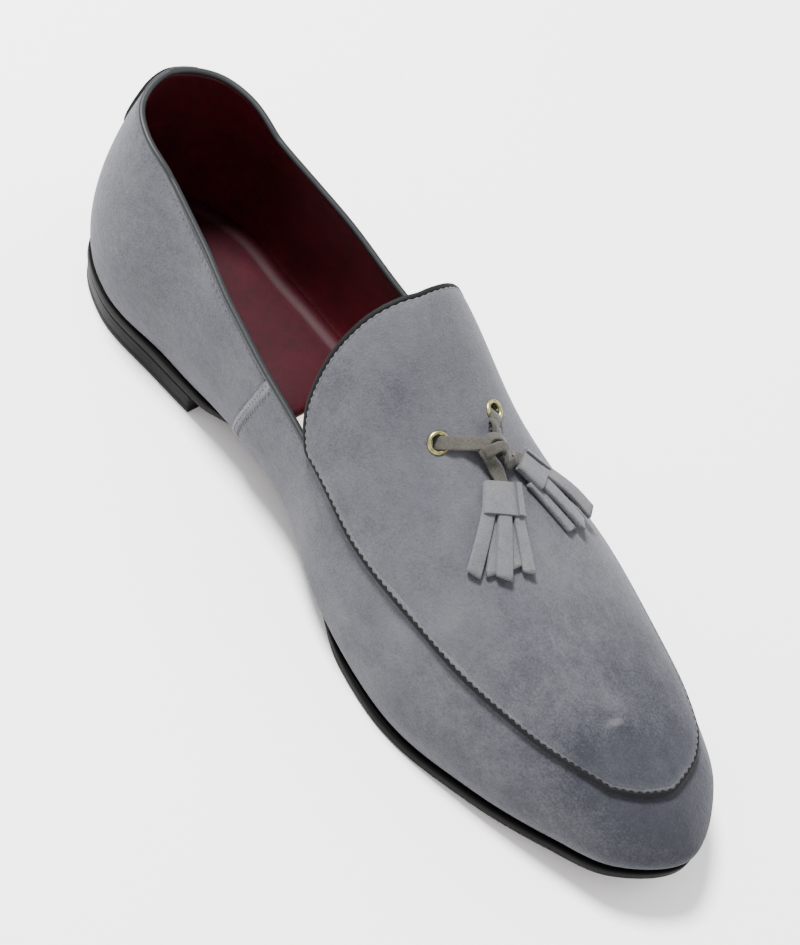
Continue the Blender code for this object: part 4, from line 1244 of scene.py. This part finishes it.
def build_wrap(finishes):
    """Vamp wrap round the toe, its back edges folded over the quarters."""
    def place(along, up):
        side, key, angle, top = wrap_spot(along, up)
        roll = 0.3 * np.exp(-((top - angle) * 30.0 / 2.4) ** 2) * (key > CORNER_KEY)
        return wall_points(side, key, angle, roll, up)

    shape = share_grid(640, 40, place)
    face_away(shape)

    def rubbed(places):
        near_sole = np.exp(-np.maximum(places[:, 2] - feather_z(places[:, 0]), 0) / 1.2)
        edge = WRAP_EDGE_KEY + np.interp(places[:, 2], (14, 52), (-5.5, 4.5))
        near_fold = np.exp(-((places[:, 0] - edge) / 1.0) ** 2)
        return np.clip(0.8 * near_sole + 0.9 * near_fold, 0, 1)

    mark_nap(shape, rubbed)
    piece = add_piece("vamp_wrap", shape, [finishes["suede"], finishes["cut"]], ["upper"])
    thicken(piece, 0.85, 1, 0.25)


def quarter_spot(along, up, lower, reach):
    """Side, key and angle over the quarters, from one side seam round the heel to the other."""
    side, ahead = halves(along)
    key = FIRST_KEY + (reach - FIRST_KEY) * ahead
    top = top_angle(side, key, lower)
    return side, key, top * up


def quarter_lift(key, angle):
    """Depth of the quarter below the wrap's face: a step at the seam, eased out behind it."""
    edge = column(WRAP_EDGE_COLUMNS, WRAP_EDGE, "key", angle)
    behind = edge - key
    fade = np.clip(1 - behind / WRAP_STEP_LENGTH, 0, 1)
    return np.where(behind > 0, -WRAP_STEP * fade, -WRAP_STEP - 0.12)


def build_quarters(finishes):
    """Both quarters in one, under the wrap's edges and up to the collar."""
    def place(along, up):
        side, key, angle = quarter_spot(along, up, ROLL, QUARTER_STOP_KEY)
        return wall_points(side, key, angle, quarter_lift(key, angle), up)

    shape = share_grid(380, 44, place)
    face_away(shape)

    def rubbed(places):
        return 0.6 * np.exp(-np.maximum(places[:, 2] - feather_z(places[:, 0]), 0) / 0.7)

    mark_nap(shape, rubbed)
    piece = add_piece("quarters", shape, [finishes["suede"], finishes["cut"]])
    thicken(piece, 0.8, 1)


def build_linings(finishes):
    """Quarter lining in glossy oxblood calf, and the cream lining of the forepart."""
    def quarter(along, up):
        side, key, angle = quarter_spot(along, up, ROLL - 0.3, QUARTER_LINING_STOP_KEY)
        return on_last(side, key, angle, -1.95)

    shape = share_grid(260, 30, quarter)
    face_away(shape, inwards=True)
    piece = add_piece("quarter_lining", shape, [finishes["lining"]])
    thicken(piece, 0.7)

    def forepart(along, up):
        side, back = halves(along)
        key = FOREPART_LINING_KEY + (LAST_KEY - FOREPART_LINING_KEY) * (1 - back)
        angle = top_angle(side, key, BINDING_HEIGHT) * up
        return on_last(side, key, angle, -1.9)

    shape = share_grid(240, 30, forepart)
    face_away(shape, inwards=True)
    piece = add_piece("forepart_lining", shape, [finishes["cream"]])
    thicken(piece, 0.6)


def build_binding(finishes):
    """Rolled edge of the collar: an oval tube along its top."""
    rows = []
    for side in (MEDIAL, LATERAL):
        key = np.linspace(BINDING_STOP_KEY, FIRST_KEY, 220)
        sides = np.full(len(key), side)
        low = top_angle(sides, key, BINDING_HEIGHT + GAP)
        rim = on_last(sides, key, low, -WALL / 2)
        above = on_last(sides, key, low + 0.02, -WALL / 2)
        half = np.concatenate([rim, unit(above - rim)], 1)
        rows.append(half if side == MEDIAL else half[::-1][1:])
    rows = np.concatenate(rows)
    path = rows[:, :3] + rows[:, 3:] * (GAP + BINDING_HEIGHT - ROLL * 0.55)
    profile = oval(2.3, ROLL + 0.5, 2.2, 20)
    shape = sweep(path, rows[:, 3:], profile)
    add_piece("collar_roll", shape, [finishes["binding"]], ["collar_binding"])


def build_heel_tab(finishes):
    """Small overlay down the centre back, its lower end rounded."""
    def place(across, down):
        side, out = halves(across)
        width = TAB_HALF_WIDTH * np.sqrt(1 - 0.85 * (1 - down) ** 3)
        key = FIRST_KEY + out * width
        top = collar_angle(side, key, ROLL + 0.2)
        bottom = collar_angle(side, np.full(len(key), FIRST_KEY), BINDING_HEIGHT) * TAB_FOOT_SHARE
        angle = bottom + (top - bottom) * down
        return on_last(side, key, angle, GAP + 0.75)

    shape = share_grid(40, 40, place)
    face_away(shape)
    mark_nap(shape)
    piece = add_piece("back_tab", shape, [finishes["suede"], finishes["cord"]], ["heel_tab"])
    thicken(piece, 1.2, 1, 0.2)


def stitch_row(shape, points, normals, pitch, length, thickness, slant):
    """Small thread stitches sunk along a line, like grains of rice, each turned by a slant."""
    whole = np.linalg.norm(np.diff(points, axis=0), axis=1).sum()
    rows = resample(np.concatenate([points, normals], 1), max(2, int(whole / pitch)))
    along = unit(np.gradient(rows[:, :3], axis=0))
    for point, normal, way in zip(rows[:, :3], unit(rows[:, 3:]), along):
        way = way * math.cos(slant) + unit(np.cross(normal, way)) * math.sin(slant)
        across = unit(np.cross(normal, way))
        turn = Matrix((way * length / 2, across * thickness / 2, normal * thickness / 2))
        place = Matrix.Translation(Vector(point)) @ turn.transposed().to_4x4()
        bmesh.ops.create_icosphere(shape, subdivisions=1, radius=1.0, matrix=place)


def build_stitches(finishes):
    """Two rows along each side seam, and one under the collar's roll."""
    shape = bmesh.new()
    for side in (MEDIAL, LATERAL):
        for back, length, slant in ((1.3, 1.3, 0.0), (3.4, 2.3, 0.75)):
            angle = np.linspace(0.03, 0.47, 40)
            key = column(WRAP_EDGE_COLUMNS, WRAP_EDGE, "key", angle) + back
            sides = np.full(len(key), side)
            inside = angle < collar_angle(sides, key, ROLL + 1.4)
            points = on_last(sides, key, angle, 0.02)[inside]
            normals = last_normal(side, key, angle)[inside]
            stitch_row(shape, points, normals, 1.9, length, 0.5, slant)
        key = np.linspace(FIRST_KEY + 15.0, CORNER_KEY - 4.0, 200)
        sides = np.full(len(key), side)
        angle = collar_angle(sides, key, ROLL + 1.4)
        lift = np.where(key < WRAP_EDGE_KEY + 4.3, quarter_lift(key, angle), 0.0)
        points = on_last(sides, key, angle, lift)
        stitch_row(shape, points, last_normal(side, key, angle), 2.2, 1.4, 0.34, 0.0)
    bmesh.ops.recalc_face_normals(shape, faces=shape.faces)
    add_piece("seam_stitches", shape, [finishes["thread"]])


# Bottom

def waist_tuck(x, share):
    """How far the sole's edge slants in at the waist, where the upper hides it."""
    behind = np.clip((x - TUCK_FROM) / TUCK_RUN_IN, 0.0, 1.0)
    ahead = np.clip((TUCK_TO - x) / TUCK_RUN_OUT, 0.0, 1.0)
    return WAIST_TUCK * share * behind ** 2 * (3 - 2 * behind) * ahead ** 2 * (3 - 2 * ahead)


def build_sole(finishes):
    """Leather sole: inked edge, rounded and bevelled at the waist, over a stained underside."""
    bottom = GAP + SOLE_THICKNESS
    profile = ((3.0, 0.0), (0.9, 0.0), (0.35, 0.2), (0.08, 0.6), (0.0, 1.2), (0.0, 3.2), (0.08, 3.8),
               (0.3, 4.2), (0.6, 4.4), (1.0, 4.5), (3.0, 4.5))
    layers = []
    for inset, rise in profile:
        share = 1.0 - 0.65 * rise / SOLE_THICKNESS
        layers.append((lambda x, inset=inset, share=share: inset + waist_tuck(x, share),
                       lambda x, rise=rise: feather_z(x) - bottom + rise))
    shape = plank(220, layers)
    for face in shape.faces:
        if face.normal.z < -0.75:
            face.material_index = 1
    add_piece("sole", shape, [finishes["edge"], finishes["underside"]], ["outsole"])


def build_heel(finishes):
    """Stacked heel with a thin rubber top piece and a straight breast."""
    top = float(feather_z(0.0)) - 2 * GAP - SOLE_THICKNESS
    profile = ((3.0, 0.0), (HEEL_TAPER + 0.5, 0.0), (HEEL_TAPER + 0.1, 0.4), (HEEL_TAPER, 2.3),
               (HEEL_TAPER + 0.12, 2.5), (HEEL_TAPER, 2.7), (0.9, 5.0), (0.6, 8.0),
               (0.5, top - 0.1), (0.7, top), (3.0, top))
    layers = [(inset, lambda x, rise=rise: np.full(np.shape(x), rise)) for inset, rise in profile]
    shape = plank(90, layers, end=HEEL_BREAST)
    for face in shape.faces:
        if face.calc_center_median().z < 2.45 and face.normal.z < 0.5:
            face.material_index = 1
    add_piece("heel_stack", shape, [finishes["stack"], finishes["rubber"]], ["heel"])


def insole_inset(x):
    """The insole's edge lies just inside the upper's wall."""
    return np.maximum(section("edge_medial", x), section("edge_lateral", x)) + WALL + GAP + 0.1


def build_insole(finishes):
    """Pale insole that the forepart shows, and the padded sock with its raised edge."""
    layers = [(insole_inset, feather_z), (insole_inset, lambda x: feather_z(x) + INSOLE_THICKNESS)]
    shape = plank(120, layers)
    add_piece("pale_insole", shape, [finishes["cream"]], ["insole"])
    base = INSOLE_THICKNESS + GAP
    profile = ((0.3, 0.0), (0.3, 1.6), (0.7, 2.3), (1.6, 2.75), (2.8, 2.95), (4.2, 2.9),
               (5.4, 2.5), (6.2, 2.2), (7.2, 2.15), (9.0, 2.25), (12.0, 2.35), (16.0, 2.4))

    def padding(x):
        """Share of the height that is left as the sock runs out to its skived front edge."""
        left = np.clip((SOCK_END - x) / SOCK_RUN_OUT, 0.0, 1.0)
        return 0.35 + 0.65 * np.sqrt(left * (2 - left))

    layers = [(lambda x, more=more: insole_inset(x) + more,
               lambda x, rise=rise: feather_z(x) + base + rise * padding(x)) for more, rise in profile]
    shape = plank(160, layers, SOCK_END)
    sock = add_piece("padded_sock", shape, [finishes["sock"]], ["insole_sock"])


set_camera()
FINISHES = build_finishes()
build_lacing(FINISHES)
for foot_side in (MEDIAL, LATERAL):
    build_eyelet(foot_side, FINISHES)
build_apron(FINISHES)
build_piping(FINISHES)
build_pinked_edge(FINISHES)
build_wrap(FINISHES)
build_quarters(FINISHES)
build_linings(FINISHES)
build_binding(FINISHES)
build_heel_tab(FINISHES)
build_stitches(FINISHES)
build_sole(FINISHES)
build_heel(FINISHES)
build_insole(FINISHES)
set_stage(FINISHES["floor"])
